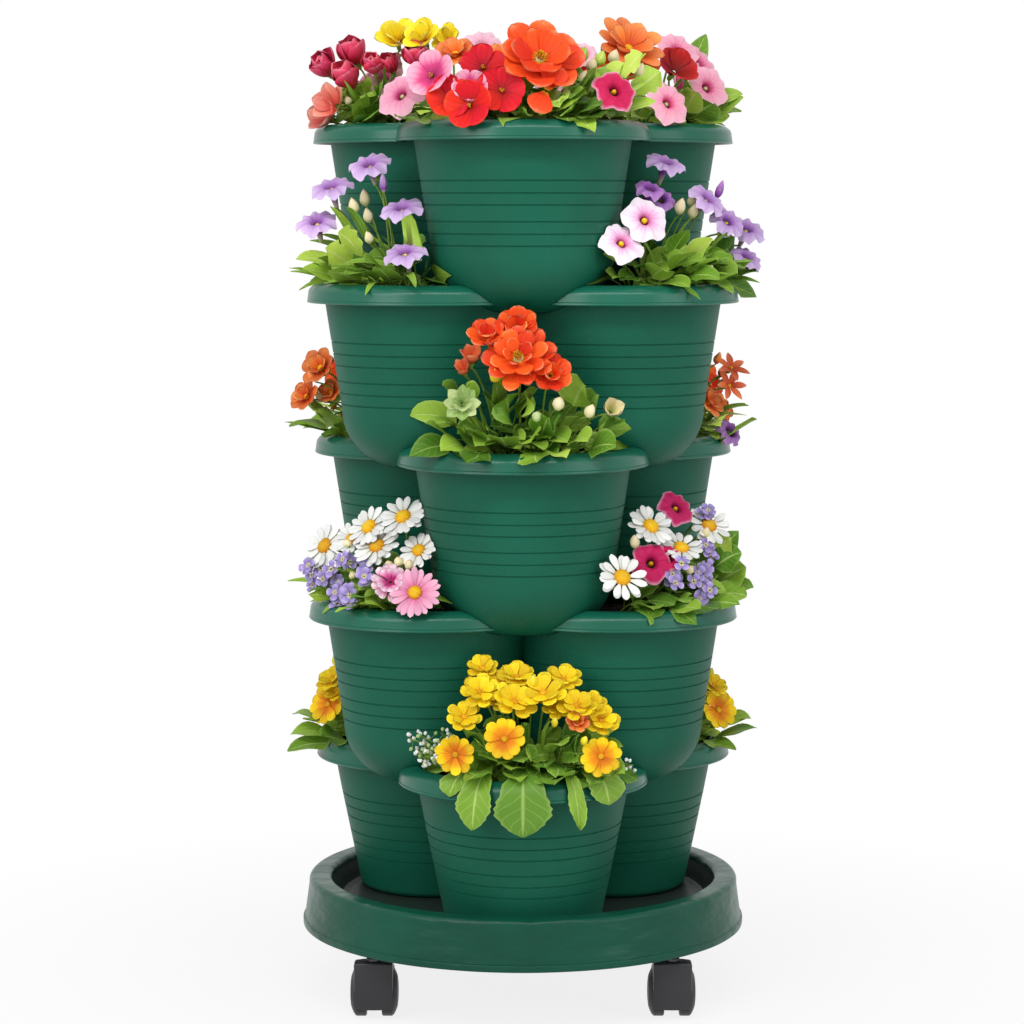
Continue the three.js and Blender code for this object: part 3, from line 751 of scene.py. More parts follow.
def petal(name, stops, veinColour, veins=4, veinStrength=0.35):
    # A petal is a thin satin skin over water: saturated, paler to its edge, with fine veins
    # that run from its foot and fade before its tip. On the crimson rosebuds that pale tip
    # is painted highlight.
    material, tree, shader = startMaterial(
        name, Roughness=0.55, IOR=1.4, Specular_IOR_Level=0.3, Sheen_Weight=0.04
    )
    along, across, tone = [
        addNode(tree, "Attribute", attribute_name=kept).outputs["Fac"] for kept in pointValues
    ]
    tint = addNode(tree, "ValToRGB", {"Fac": along})
    setStops(tint, stops)
    middle = addNode(tree, "Math", {0: across, 1: 0.5}, operation="SUBTRACT")
    spread = addNode(tree, "Math", {0: middle, 1: math.tau * veins}, operation="MULTIPLY")
    wave = addNode(tree, "Math", {0: spread}, operation="COSINE")
    fine = {"Value": wave, "From Min": 0.35, "From Max": 1, "To Max": veinStrength}
    fade = {"Value": along, "From Min": 0.15, "From Max": 0.85, "To Min": 1, "To Max": 0}
    parts = {0: addNode(tree, "MapRange", fine), 1: addNode(tree, "MapRange", fade)}
    share = addNode(tree, "Math", parts, operation="MULTIPLY")
    veined = addNode(tree, "Mix", {0: share, 6: tint, 7: linear(veinColour)}, data_type="RGBA")
    value = addNode(tree, "MapRange", {"Value": tone, "To Min": 0.82, "To Max": 1.12})
    hue = addNode(tree, "MapRange", {"Value": tone, "To Min": 0.493, "To Max": 0.507})
    varied = addNode(tree, "HueSaturation", {"Hue": hue, "Value": value, "Color": veined.outputs[2]})
    ridge = addNode(tree, "Bump", {"Height": wave, "Distance": 0.25 * mm, "Strength": 0.5})
    feed(tree, shader, {"Base Color": varied, "Normal": ridge})
    return material


def leafFinish(name, deep, bright, rib):
    # A leaf has a waxy upper skin with a soft shine, a pale midrib, and side veins that slant
    # forward. Its green goes from deep to bright with the tone of each leaf.
    material, tree, shader = startMaterial(name, Roughness=0.42, IOR=1.42, Specular_IOR_Level=0.35)
    along, across, tone = [
        addNode(tree, "Attribute", attribute_name=kept).outputs["Fac"] for kept in pointValues
    ]
    tint = addNode(tree, "ValToRGB", {"Fac": tone})
    setStops(tint, [(0, deep), (1, bright)])
    middle = addNode(tree, "Math", {0: across, 1: 0.5}, operation="SUBTRACT")
    side = addNode(tree, "Math", {0: middle}, operation="ABSOLUTE")
    slant = addNode(tree, "Math", {0: side, 1: -0.55, 2: along}, operation="MULTIPLY_ADD")
    veinPairs = 6
    turns = addNode(tree, "Math", {0: slant, 1: math.tau * veinPairs}, operation="MULTIPLY")
    wave = addNode(tree, "Math", {0: turns}, operation="COSINE")
    midrib = {"Value": side, "From Min": 0.01, "From Max": 0.045, "To Min": 0.8, "To Max": 0}
    sideVeins = {"Value": wave, "From Min": 0.86, "From Max": 1, "To Max": 0.28}
    margin = {"Value": side, "From Min": 0.4, "From Max": 0.5, "To Max": 0.45}
    parts = {0: addNode(tree, "MapRange", midrib), 1: addNode(tree, "MapRange", sideVeins)}
    veins = addNode(tree, "Math", parts, operation="MAXIMUM")
    parts = {0: veins, 1: addNode(tree, "MapRange", margin)}
    pale = addNode(tree, "Math", parts, operation="MAXIMUM")
    colour = addNode(tree, "Mix", {0: pale, 6: tint, 7: linear(rib)}, data_type="RGBA")
    bump = addNode(tree, "Bump", {"Height": veins, "Distance": 0.5 * mm, "Strength": 0.8}, invert=True)
    feed(tree, shader, {"Base Color": colour.outputs[2], "Normal": bump})
    return material


# a leaf's deep and bright green, and the colour of its rib
leafColours = {
    "stem": ("6f9630", "9dbf4e", "b2cc6c"),
    "leaf": ("5a8c26", "a0c542", "bfd97a"),
    "deepLeaf": ("42741f", "78a236", "a2c064"),
    "limeLeaf": ("9cc638", "cbe45e", "e2f098"),
    "paleLeaf": ("8fb458", "cfdf9e", "dde8b8"),
}
# a petal's colours from its foot to its tip, and its veins' colour, with their count and strength
# where those are its own
petalColours = {
    "white": ([(0, "dfe3c4"), (0.25, "f2f2ee"), (1, "f8f8f6")], "d4d6cc", 2, 0.25),
    "pinkDaisy": ([(0, "dc6698"), (0.35, "eda0c0"), (1, "f3bcd2")], "d87aa4", 2),
    "orangeRed": ([(0, "f4b01c"), (0.12, "ea4414"), (0.7, "f8541e"), (1, "fc9464")], "d03408"),
    "orange": ([(0, "d9480e"), (0.4, "f07a34"), (1, "f9a566")], "d85414"),
    "red": ([(0, "960c10"), (0.3, "d60c1c"), (0.8, "e81a20"), (1, "f04632")], "960a10"),
    "darkRed": ([(0, "6c0a14"), (0.6, "ac1426"), (1, "cc303c")], "6c0810"),
    "pink": ([(0, "8c1450"), (0.3, "d84484"), (0.5, "f096b6"), (1, "f8bed0")], "c43472", 4, 0.6),
    "palePink": ([(0, "cc5488"), (0.3, "f0a8c2"), (1, "f9d4e0")], "dc7aa6"),
    "magenta": (
        [(0, "e8c83a"), (0.16, "8a0840"), (0.45, "c20c52"), (0.88, "d0205e"), (1, "eca0be")],
        "740838", 4, 0.6,
    ),
    "lavender": ([(0, "ece4b0"), (0.2, "8c3ca8"), (0.5, "bc90d2"), (1, "dcc2ec")], "883cac", 4, 0.7),
    "violet": ([(0, "5c2478"), (0.4, "9252ae"), (1, "bc8ccc")], "54207a"),
    "lilac": (
        [(0, "f0e08c"), (0.2, "c83490"), (0.48, "e8aad6"), (0.75, "f6def0"), (1, "faeef8")],
        "c84a9c", 4, 0.8,
    ),
    # the crimson is the rosebuds' own colour; its pale pink tip is painted highlight
    "crimson": ([(0, "be1640"), (0.35, "de2a54"), (0.75, "ee4c72"), (1, "f6909e")], "b41440", 3, 0.3),
    "salmon": ([(0, "d04a40"), (0.5, "f09080"), (1, "f9c4b2")], "d86458"),
    "yellow": ([(0, "f0b00c"), (0.25, "f8dc1c"), (0.8, "fce93a"), (1, "fdf17c")], "ecc40c"),
    "primrose": ([(0, "f0a40c"), (0.18, "f9d010"), (1, "fee62c")], "ecbc0c"),
    "goldPrimrose": ([(0, "e06c0c"), (0.3, "f0940e"), (0.5, "f8c80e"), (1, "fcdc22")], "e0900a"),
    "cream": ([(0, "c4ce84"), (0.4, "f0e4b4"), (0.85, "f8e8be"), (1, "f6d0a0")], "dcd29a", 3),
    "carnation": ([(0, "c01474"), (0.3, "e0589c"), (0.6, "f4b8d4"), (1, "fdeef4")], "d03c88", 5),
    "mauve": ([(0, "f2ea8c"), (0.24, "9480c6"), (0.7, "b8a8e0"), (1, "dcd2f0")], "8468b8", 3),
    "coral": ([(0, "d44c24"), (0.6, "f07c50"), (1, "f9b890")], "c84820"),
}
finishes = {key: leafFinish(f"{key}Skin", *colours) for key, colours in leafColours.items()}
finishes["gold"] = petal("goldenAnther", [(0, "d8860c"), (0.6, "f4b818"), (1, "f9cd2c")], "c87c0a", 9)
for key, colours in petalColours.items():
    finishes[key] = petal(f"{key}Petal", *colours)
finishOrder = list(finishes)


def petalGrid(
    length, width, lift, curl, widest, fullness, cup,
    notch=0, ruffle=0, waves=3, phase=0, rows=8, columns=7,
):
    # A petal from its foot at the origin outwards along X, its face up. Lift is the slope of its
    # foot and curl the change of slope to its tip, in degrees.
    t = np.linspace(0, 1, rows)[:, None]
    u = 1 - (1 - t) ** 1.5
    v = np.linspace(-1, 1, columns)[None, :]
    power = math.log(0.5) / math.log(widest)
    spread = width / 2 * np.sin(np.pi * np.clip(u, 1e-6, 1 - 1e-6) ** power) ** fullness
    spread = np.maximum(spread, width * 0.09 * (1 - u))
    start, bend = math.radians(lift), math.radians(curl) or 1e-4
    far = u * (1 - notch * np.exp(-((v / 0.28) ** 2)) * u**4)
    angle = start + bend * far
    out = length * (np.sin(angle) - math.sin(start)) / bend
    rise = length * (math.cos(start) - np.cos(angle)) / bend
    push = cup * spread * v**2 + ruffle * u**2 * np.sin(waves * np.pi * v + phase) * np.abs(v) ** 0.5
    grid = np.empty((rows, columns, 3))
    grid[..., 0] = out - np.sin(angle) * push
    grid[..., 1] = spread * v
    grid[..., 2] = rise + np.cos(angle) * push
    return grid


def trumpetGrid(radius, depth, ruffle, phase):
    # A petunia's fused petals: a narrow throat that opens into five waved lobes
    rings, segments, flare, throat = 10, 45, 8, 0.35
    s = np.linspace(0, 1, rings)[:, None]
    theta = np.linspace(0, math.tau, segments, endpoint=False)[None, :]
    opening = np.clip((s - throat) / (1 - throat), 0, 1)
    lobes = 1 + 0.09 * np.cos(5 * theta) * opening
    r = (2 + 3.4 * np.clip(s / throat, 0, 1) + (radius - 5.4) * opening**1.1) * lobes
    z = -depth * (1 - np.clip(s / 0.4, 0, 1)) ** 1.2 + flare * (opening - opening**2 * 1.3)
    z = z + ruffle * opening**2 * np.sin(10 * theta + phase) - 1.2 * opening * np.cos(5 * theta)
    return np.stack((r * np.cos(theta), r * np.sin(theta), z + 0 * theta), axis=-1)


def lobeShare(segments, lobes=5):
    # how far each column lies from the middle of its lobe, for the veins
    turn = np.linspace(0, lobes, segments, endpoint=False) % 1
    return 0.5 + np.abs((turn + 0.5) % 1 - 0.5)


def around(sides):
    return [math.tau * k / sides for k in range(sides)]


def spinAbout(angle):
    return np.array(Matrix.Rotation(angle, 3, "Z"))


def facing(direction):
    # the turn that takes Z to a direction
    return np.array(Vector(direction).to_track_quat("Z", "Y").to_matrix())


def spot(side, out, rise):
    # a place given sideways and outwards from the lobe's centre, and above the rim's crest
    return Vector((side, lobeCentre[1] - out, potSizes["rimHeight"] + rise))


def inSoil(side, out):
    return Vector((side, lobeCentre[1] - out, soilSizes["top"]))


foliage = {
    "fan": 120,  # how far leaves turn from straight out, in degrees
    "level": 6,  # the slope of the last leaf's stalk, in degrees, and what the first adds
    "raised": 62,
    "crownWidth": 46,
    "crownDepth": (-22, 28),
    "stalk": (26, 52),
    "knee": 6,
    "reach": 152,  # from the lobe's centre to the tips of the leaves
    "size": (0.7, 1.05),
}
undergrowth = {
    "outer": 66,
    "slope": (18, 70),
    "stalk": (16, 34),
    "knee": 5,
    "reach": 150,
    "size": (0.6, 0.95),
    "bloomRoom": 34,  # that low leaves leave round a bloom
}
bloomHabit = {
    "outward": 0.4,  # shares of a bloom's direction: its stalk's, the front's, and up
    "forward": 0.8,
    "upward": 0.25,
    "wander": 0.18,
    "seen": 0.9,  # how much the tower's front draws a bloom that can be seen, and one that can't
    "hidden": 0.15,
    "stalkRadius": 1.3,
    "size": (0.96, 1.04),
}
growth = {
    "crown": 46,  # where most stalks meet, outwards from the lobe's centre
    "shortestLeaf": 12,
    "stalkRadius": 0.9,
    "stalkBow": 0.12,
    "behindBloom": 4,  # how far behind a bloom crossing leaves end up
    "beforeBloom": 26,  # and how far before it they are looked for
    "bloomMargin": 1.12,
    "bowlGap": 2,  # to the bowls and the rim of the tier above
    "crestGap": 1.2,
    "rimFaceGap": 1.4,
    "wallGap": 2,
    "rimFrom": 103,  # from the lobe's centre, where the rim starts and where its face does
    "rimFaceFrom": 119,
    "outerWallFrom": 104,
    "sunk": 4,  # how deep a leaf may lie in the compost
}


class PocketPlants:
    # Everything that grows in one pocket, in the pocket's own millimetres: the tower's axis at
    # the origin, outwards along -Y, and heights from the rim's lower edge.
    def __init__(self, seed, bowlsAbove, turn):
        self.rng = random.Random(seed)
        self.bowlsAbove = bowlsAbove
        self.points, self.faces, self.finish = [], [], []
        self.along, self.across, self.tone, self.yields = [], [], [], []
        self.count = 0
        self.blooms = []
        # Blooms turn from their pocket's own front towards the tower's front, where the light is.
        towerFront = Matrix.Rotation(-math.radians(turn), 3, "Z") @ Vector((0, -1, 0))
        self.towerFront = towerFront * (0 if turn == 180 else 1)
        self.front = (Vector((0, -1, 0)) * 0.5 + self.towerFront * 0.7).normalized()

    def addGrid(
        self, grid, finish, tone=None, turn=None, place=None, wrap=False, across=None, yields=False
    ):
        rows, columns = grid.shape[:2]
        flat = grid.reshape(-1, 3)
        if turn is not None:
            flat = flat @ np.array(turn).T
        if place is not None:
            flat = flat + np.array(place)
        self.points.append(flat)
        last = columns if wrap else columns - 1
        for row in range(rows - 1):
            for column in range(last):
                following = (column + 1) % columns
                a = self.count + row * columns
                b = a + columns
                self.faces.append((a + column, a + following, b + following, b + column))
                self.finish.append(finishOrder.index(finish))
        if across is None:
            across = np.linspace(0, 1, columns)
        self.along.append(np.repeat(np.linspace(0, 1, rows), columns))
        self.across.append(np.tile(across, rows))
        self.tone.append(np.full(rows * columns, self.rng.random() if tone is None else tone))
        self.yields.append(np.full(rows * columns, yields))
        self.count += rows * columns

    def addTube(self, path, radii, finish, sides, yields=False):
        path = [Vector(p) for p in path]
        rings = []
        for i, p in enumerate(path):
            step = (path[min(i + 1, len(path) - 1)] - path[max(i - 1, 0)]).normalized()
            frameTurn = step.to_track_quat("Z", "Y").to_matrix()
            ends = [Vector((radii[i] * math.cos(a), radii[i] * math.sin(a), 0)) for a in around(sides)]
            rings.append([p + frameTurn @ end for end in ends])
        self.addGrid(np.array(rings), finish, wrap=True, yields=yields)

    def addDome(self, radius, height, finish, turn, place):
        # the bumpy middle of a bloom
        rows, bumps = 6, 0.35

        def near(value):
            return value + bumps * self.rng.uniform(-1, 1)

        rings = []
        for i in range(rows):
            a = math.pi / 2 * i / (rows - 1)
            r, z = max(radius * math.cos(a), 0.02), height * math.sin(a)
            rings.append([(near(r) * math.cos(b), near(r) * math.sin(b), near(z)) for b in around(14)])
        self.addGrid(np.array(rings), finish, turn=turn, place=place, wrap=True)

    def addBud(self, place, direction, length, width, finish):
        # a closed bud: an egg of wrapped petals on a green cup
        turn = facing(direction)
        rows, sides = 8, 10
        rings = []
        for i in range(rows):
            u = i / (rows - 1)
            r = max(width / 2 * math.sin(math.pi * u**0.8) ** 0.75, 0.25)
            loop = []
            for a in around(sides):
                reach, twisted = r * (1 + 0.1 * math.cos(3 * a)), a + 0.8 * u
                loop.append((reach * math.cos(twisted), reach * math.sin(twisted), length * u))
            rings.append(loop)
        self.addGrid(np.array(rings), finish, turn=turn, place=place, wrap=True)
        for angle in around(4):
            sepal = petalGrid(length * 0.62, width * 0.75, 56, 30, 0.5, 0.7, 0.3, rows=5, columns=3)
            self.addGrid(sepal, "stem", turn=turn @ spinAbout(angle), place=place)

    def addStem(self, start, end, radius, bow=0.35, yields=False):
        start, end = Vector(start), Vector(end)
        middle = start.lerp(end, 0.45) + up * (end - start).length * bow
        path, radii = [], []
        for i in range(9):
            t = i / 8
            path.append(start.lerp(middle, t).lerp(middle.lerp(end, t), t))
            radii.append(radius * (1.15 - 0.35 * i / 8))
        self.addTube(path, radii, "stem", 5, yields)
        return path

    def addLeaf(self, start, direction, kind, size, finish):
        # the blade's upper face turns to the light, in front and above, or outwards behind
        look = leafLooks[kind]
        rng = self.rng
        direction = Vector(direction).normalized()
        away = (Vector(start) - Vector(lobeCentre)) * Vector((1, 1, 0))
        away = away.normalized() if away.length > 1 else self.front
        ahead = self.front if away.dot(self.towerFront) > -0.3 else away
        length = look["length"] * size * rng.uniform(0.88, 1.12)
        width = look["width"] * size * rng.uniform(0.88, 1.12)
        sag = rng.uniform(*look["sag"])
        light = ahead * 0.75 + up * 0.8 + Vector([rng.gauss(0, 0.22) for _ in range(3)])
        rows = look.get("rows", 9)
        teeth, toothCount = look.get("teeth", 0), look.get("toothCount", 1)
        edges = (-1, -0.5, 0, 0.5, 1)
        power = math.log(0.5) / math.log(look["widest"])
        phase = rng.uniform(0, math.tau)
        grid = np.empty((rows, len(edges), 3))
        for i in range(rows):
            u = i / (rows - 1)
            centre = Vector(start) + (direction * u - up * sag * u * u) * length
            tangent = (direction - up * 2 * sag * u).normalized()
            sideways = tangent.cross(light).normalized()
            over = sideways.cross(tangent)
            swell = math.sin(math.pi * min(max(u, 0.001), 0.999) ** power)
            half = max(width / 2 * swell ** look["fullness"], 0.5)
            tooth = 1 - teeth * ((u * toothCount) % 1)
            for j, v in enumerate(edges):
                reach = half * v * (tooth if abs(v) == 1 else (1 + tooth) / 2)
                wave = look["wave"] * abs(v) * math.sin(9 * u + 2 * v + phase)
                grid[i, j] = centre + sideways * reach + over * (look["fold"] * abs(reach) + wave)
        self.addGrid(grid, finish, yields=True)

    def fitLeaf(self, knee, kind, habit):
        # a leaf's size, for the room that is left before it
        gap = habit["reach"] - (knee - Vector(lobeCentre)).xy.length
        most = max(gap, growth["shortestLeaf"]) / leafLooks[kind]["length"]
        return min(self.rng.uniform(*habit["size"]), most)

    def addFoliage(self, kinds, count, height, greens):
        rng = self.rng
        f = foliage
        middle = lobeCentre[1] - growth["crown"]
        for i in range(count):
            share = (i + rng.random()) / count
            azimuth = math.radians(rng.uniform(-f["fan"], f["fan"]))
            slope = math.radians(f["level"] + f["raised"] * (1 - share) * rng.uniform(0.6, 1.1))
            side = rng.uniform(-f["crownWidth"], f["crownWidth"])
            root = Vector((side, middle - rng.uniform(*f["crownDepth"]), soilSizes["top"]))
            level = math.cos(slope)
            direction = Vector((math.sin(azimuth) * level, -math.cos(azimuth) * level, math.sin(slope)))
            stalk = rng.uniform(*f["stalk"]) * (0.6 + height / 100 * math.sin(slope))
            knee = root + direction * stalk + up * f["knee"]
            self.addStem(root, knee, growth["stalkRadius"], growth["stalkBow"], True)
            flatter = direction + Vector((0, -0.2, -0.5 * direction.z))
            kind = rng.choice(kinds)
            size = self.fitLeaf(knee, kind, f)
            self.addLeaf(knee, flatter, kind, size, rng.choice(greens))

    def addUndergrowth(self, kinds, count, inner, greens):
        # low leaves all over a pocket, from the inner edge that is given to the rim, clear of its
        # blooms
        rng = self.rng
        u = undergrowth
        for _ in range(count):
            side, out = rng.uniform(-u["outer"], u["outer"]), rng.uniform(inner, u["outer"])
            root = inSoil(side, out)
            azimuth = rng.uniform(0, math.tau)
            slope = math.radians(rng.uniform(*u["slope"]))
            level = math.cos(slope)
            direction = Vector((math.cos(azimuth) * level, math.sin(azimuth) * level, math.sin(slope)))
            knee = root + direction * rng.uniform(*u["stalk"]) + up * u["knee"]
            kind = rng.choice(kinds)
            size = self.fitLeaf(knee, kind, u)
            flatter = Vector((direction.x, direction.y, direction.z * 0.5))
            tip = knee + flatter * leafLooks[kind]["length"] * size
            gaps = [min((knee - head).length, (tip - head).length + 6) for head, _, _ in self.blooms]
            if min(gaps) < u["bloomRoom"]:
                continue
            self.addStem(root, knee, growth["stalkRadius"], growth["stalkBow"], True)
            self.addLeaf(knee, flatter, kind, size, rng.choice(greens))

    def addBloom(self, kind, side, out, rise, size=1.0):
        look, habit = bloomLooks[kind], bloomHabit
        rng = self.rng
        place = spot(side, out, rise)
        crownOut = growth["crown"] if out > 0 else out * 0.8
        crown = Vector(
            (
                side * 0.45 + rng.uniform(-8, 8),
                lobeCentre[1] - crownOut + rng.uniform(-8, 8),
                soilSizes["top"],
            )
        )
        outward = (place - crown).normalized()
        seen = Vector((side, -out, 0)).normalized().dot(self.towerFront) > -0.3
        front = Vector((0, -0.5, 0)) + self.towerFront * habit["seen" if seen else "hidden"]
        aim = outward * habit["outward"] + front.normalized() * habit["forward"]
        aim = (aim + up * look.get("upward", habit["upward"])).normalized()
        wander = habit["wander"]
        aim = (aim + Vector([rng.uniform(-wander, wander) for _ in range(3)])).normalized()
        size *= rng.uniform(*habit["size"])
        turn = facing(aim) @ spinAbout(rng.uniform(0, math.tau))
        back = look["back"] * size
        foot = place - aim * back
        self.addStem(crown, foot, look.get("stemRadius", habit["stalkRadius"]))
        cup = [foot - aim * 2, foot, foot + aim * back * 0.5, foot + aim * back * 0.85]
        self.addTube(cup, [0.8, 2.2 * size, 3 * size, 2.6 * size], "stem", 8)
        reach = look.get("trumpet", 0)
        for petals in look.get("rings", []):
            self.addPetals(petals, size, turn, place)
            shape = petals["shape"]
            reach = max(reach, shape["base"] + shape["length"] * math.cos(math.radians(shape["lift"])))
        if "trumpet" in look:
            grid = trumpetGrid(look["trumpet"] * size, back, look["ruffle"], rng.random() * 6)
            across = lobeShare(grid.shape[1])
            self.addGrid(grid, look["finish"], turn=turn, place=place, wrap=True, across=across)
        if "dome" in look:
            radius, height, finish = look["dome"]
            middle = place + aim * look.get("domeLift", 0.5)
            self.addDome(radius * size, height * size, finish, turn, middle)
        for i in range(look.get("stamens", 0)):
            angle = math.tau * i / look["stamens"] + rng.uniform(-0.2, 0.2)
            lean = rng.uniform(0.15, 0.6)
            leaning = np.array((math.cos(angle) * lean, math.sin(angle) * lean, 1))
            direction = Vector(turn @ leaning).normalized()
            tip = look["stamenLength"] * size * rng.uniform(0.8, 1.1)
            path = [place + direction * tip * s for s in (0, 0.4, 0.8, 0.9, 1)]
            self.addTube(path, [0.45, 0.4, 0.45, 1.1, 0.6], "gold", 5)
        for angle in around(look.get("sepals", 0)):
            sepal = petalGrid(14 * size, 6 * size, 55, -10, 0.4, 0.8, 0.2, rows=5, columns=3)
            self.addGrid(sepal, "stem", turn=turn @ spinAbout(angle), place=foot)
        self.blooms.append((place, aim, reach * size * growth["bloomMargin"]))

    def addPetals(self, petals, size, turn, place):
        rng = self.rng
        shape = dict(petals["shape"])
        base, height = shape.pop("base") * size, shape.pop("height", 0) * size
        offset = rng.random()
        for i in range(petals["count"]):
            own = dict(shape)
            own["length"] = shape["length"] * size * rng.uniform(0.92, 1.06)
            own["width"] = shape["width"] * size * rng.uniform(0.93, 1.07)
            own["lift"] = shape["lift"] + rng.uniform(-7, 7)
            own["phase"] = rng.uniform(0, math.tau)
            grid = petalGrid(**own)
            grid[..., 0] += base
            grid[..., 2] += height + 0.25 * (i % 3)
            angle = math.tau * (i + offset) / petals["count"] + rng.gauss(0, 0.06)
            self.addGrid(grid, petals["finish"], turn=turn @ spinAbout(angle), place=place)

    def addCluster(self, kind, side, out, rise, count, radius):
        # a head of small blooms of one kind, each on its own short stalk
        for _ in range(count):
            step = Vector([self.rng.gauss(0, 0.45) for _ in range(3)])
            self.addBloom(kind, side + radius * step.x, out + radius * step.y, rise + radius * step.z)

    def addSprig(self, side, out, rise, count):
        # airy sprays of tiny white buds
        rng = self.rng
        root = inSoil(side * 0.6, 50)
        for _ in range(count):
            end = Vector(
                (
                    side + rng.uniform(-20, 18),
                    lobeCentre[1] - out + rng.uniform(-12, 12),
                    potSizes["rimHeight"] + rise + rng.uniform(-6, 24),
                )
            )
            path = self.addStem(root, end, 0.8, 0.25)
            for k in range(16):
                at = path[4].lerp(path[8], rng.random())
                spread = Vector([rng.uniform(-7, 7) for _ in range(3)])
                self.addTube([at, at + spread * 0.6, at + spread], [0.3] * 3, "stem", 3)
                bud = "white" if k % 3 else "paleLeaf"
                self.addBud(at + spread, (spread + up * 6).normalized(), 4.4, 3.8, bud)

    def addStalkedBud(self, finish, side, out, rise, length, width):
        place, root = spot(side, out, rise), inSoil(side * 0.5, growth["crown"])
        direction = (place - root).normalized() + up * 0.4
        self.addStem(root, place, 1)
        self.addBud(place, direction, length, width, finish)

    def addSingleLeaf(self, kind, side, out, rise, finish="leaf", size=1):
        place, root = spot(side, out, rise), inSoil(side * 0.5, growth["crown"])
        direction = (place - root).normalized()
        knee = place - direction * leafLooks[kind]["length"] * 0.45
        self.addStem(root, knee, 1, yields=True)
        self.addLeaf(knee, direction + up * 0.12, kind, size, finish)

    def addDrape(self, side, hang, width, finish):
        # a big leaf that lies over the rim and hangs down outside it
        rows, columns = 20, 7
        rim = potSizes["rimRadius"]
        foot = math.asin(side / rim)
        path = [(84, 30), (100, 28), (112, 25), (121, 20.5), (127.5, 12), (129, 4)]
        path += [(130 + 0.1 * i, 4 - i) for i in range(5, hang + 9, 5)]
        steps = np.linspace(0, len(path) - 1, rows)
        radii, heights = [np.interp(steps, range(len(path)), line) for line in zip(*path)]
        grid = np.empty((rows, columns, 3))
        for i in range(rows):
            u = i / (rows - 1)
            half = width / 2 * math.sin(math.pi * min(max(u, 0.01), 0.995) ** 1.1) ** 0.7
            tooth = 1 - 0.14 * ((u * 8) % 1)
            for j in range(columns):
                v = j / (columns - 1) * 2 - 1
                reach = half * v * (tooth if abs(v) == 1 else 1)
                angle = foot * (1 + 0.12 * u) + reach / rim
                lifted = 3 * abs(v) * (1 + 0.7 * math.sin(8 * u + 3 * v + side)) - 5 * u**4
                radius = radii[i] + lifted * min(1, i / 8)
                height = heights[i] + lifted * max(0, 1 - i / 8)
                outwards = lobeCentre[1] - radius * math.cos(angle)
                grid[i, j] = (radius * math.sin(angle), outwards, height)
        self.addGrid(grid, finish, 0.3 + 0.3 * self.rng.random())
        self.addStem(inSoil(side * 0.4, 40), Vector(grid[0, columns // 2]), 1.6, 0.3)

    def passBehind(self, points):
        # leaves that would cross a bloom go behind it
        behind, before = growth["behindBloom"], growth["beforeBloom"]
        yields = np.concatenate(self.yields)
        for place, aim, reach in self.blooms:
            gap = points - np.array(place)
            forward = gap @ np.array(aim)
            sideways = np.linalg.norm(gap - np.outer(forward, aim), axis=1)
            crossing = yields & (sideways < reach) & (forward > -behind) & (forward < before)
            push = (forward[crossing] + behind) * growth["bloomMargin"]
            points[crossing] -= np.outer(push, aim)
        return points

    def keepClear(self, points):
        # moves points off the bowls above, the rim and the compost
        s, g = potSizes, growth
        x, y, z = points.T
        centres = lobeCentres()
        if self.bowlsAbove:
            flat, shoulder = s["bowlFlatRadius"], bowlBottom + s["bowlShoulder"]
            height = z - tiers["pitch"]
            below = np.clip((shoulder - height) / s["bowlShoulder"], 0, 1)
            curved = flat + (wallAt(shoulder) - flat) * np.sqrt(1 - below**2)
            radius = np.where(height < shoulder, curved, wallAt(height)) + g["bowlGap"]
            radius = np.where(height > -3, s["rimRadius"] + g["bowlGap"], radius)
            radius = np.where(height < bowlBottom - g["bowlGap"], 0, radius)
            for centre in centres:
                cx, cy = -centre.x, -centre.y
                dx, dy = x - cx, y - cy
                reach = np.hypot(dx, dy) + 1e-9
                scale = np.where(reach < radius, radius / reach, 1)
                x, y = cx + dx * scale, cy + dy * scale
        gaps = [np.hypot(x - centre.x, y - centre.y) for centre in centres]
        nearest = np.argmin(gaps, axis=0)
        reach = np.min(gaps, axis=0) + 1e-9
        cx, cy = [np.array(values)[nearest] for values in zip(*centres)]
        face = s["rimRadius"] - s["rimFlick"]
        curve = np.clip((reach - s["crestRadius"]) / (face - s["crestRadius"]), 0, 1)
        crest = s["rimShoulder"] + (s["rimHeight"] - s["rimShoulder"]) * np.sqrt(1 - curve**2)
        overRim = (reach > g["rimFrom"]) & (reach < s["rimRadius"] + g["crestGap"]) & (z > -30)
        outside = overRim & (reach > g["rimFaceFrom"]) & (z < s["rimShoulder"] + 2)
        scale = np.where(outside, (s["rimRadius"] + g["rimFaceGap"]) / reach, 1)
        x, y = cx + (x - cx) * scale, cy + (y - cy) * scale
        over = overRim & ~outside & (z < crest + g["crestGap"])
        z = np.where(over, crest + g["crestGap"], z)
        inner, outer = g["outerWallFrom"], wallAt(z) + g["wallGap"]
        inWall = (reach > inner) & (reach < outer) & (reach < s["rimRadius"]) & (z <= -1)
        scale = np.where(inWall, outer / reach, 1)
        x, y = cx + (x - cx) * scale, cy + (y - cy) * scale
        lowest = soilSizes["top"] - g["sunk"]
        z = np.where((reach <= inner) & (z < lowest), lowest, z)
        return np.stack((x, y, z), axis=1)

    def build(self, name, place):
        points = self.keepClear(self.passBehind(np.concatenate(self.points)))
        mesh = makeMesh(name, points, self.faces)
        for attribute, values in zip(pointValues, (self.along, self.across, self.tone)):
            layer = mesh.attributes.new(attribute, "FLOAT", "POINT")
            layer.data.foreach_set("value", np.concatenate(values).astype(np.float32))
        mesh.polygons.foreach_set("material_index", self.finish)
        mesh.transform(place)
        return mesh


def ring(count, length, width, lift, curl, finish, **shape):
    # one ring of petals, in millimetres and degrees
    named = {"length": length, "width": width, "lift": lift, "curl": curl, **shape}
    return {"count": count, "finish": finish, "shape": named}


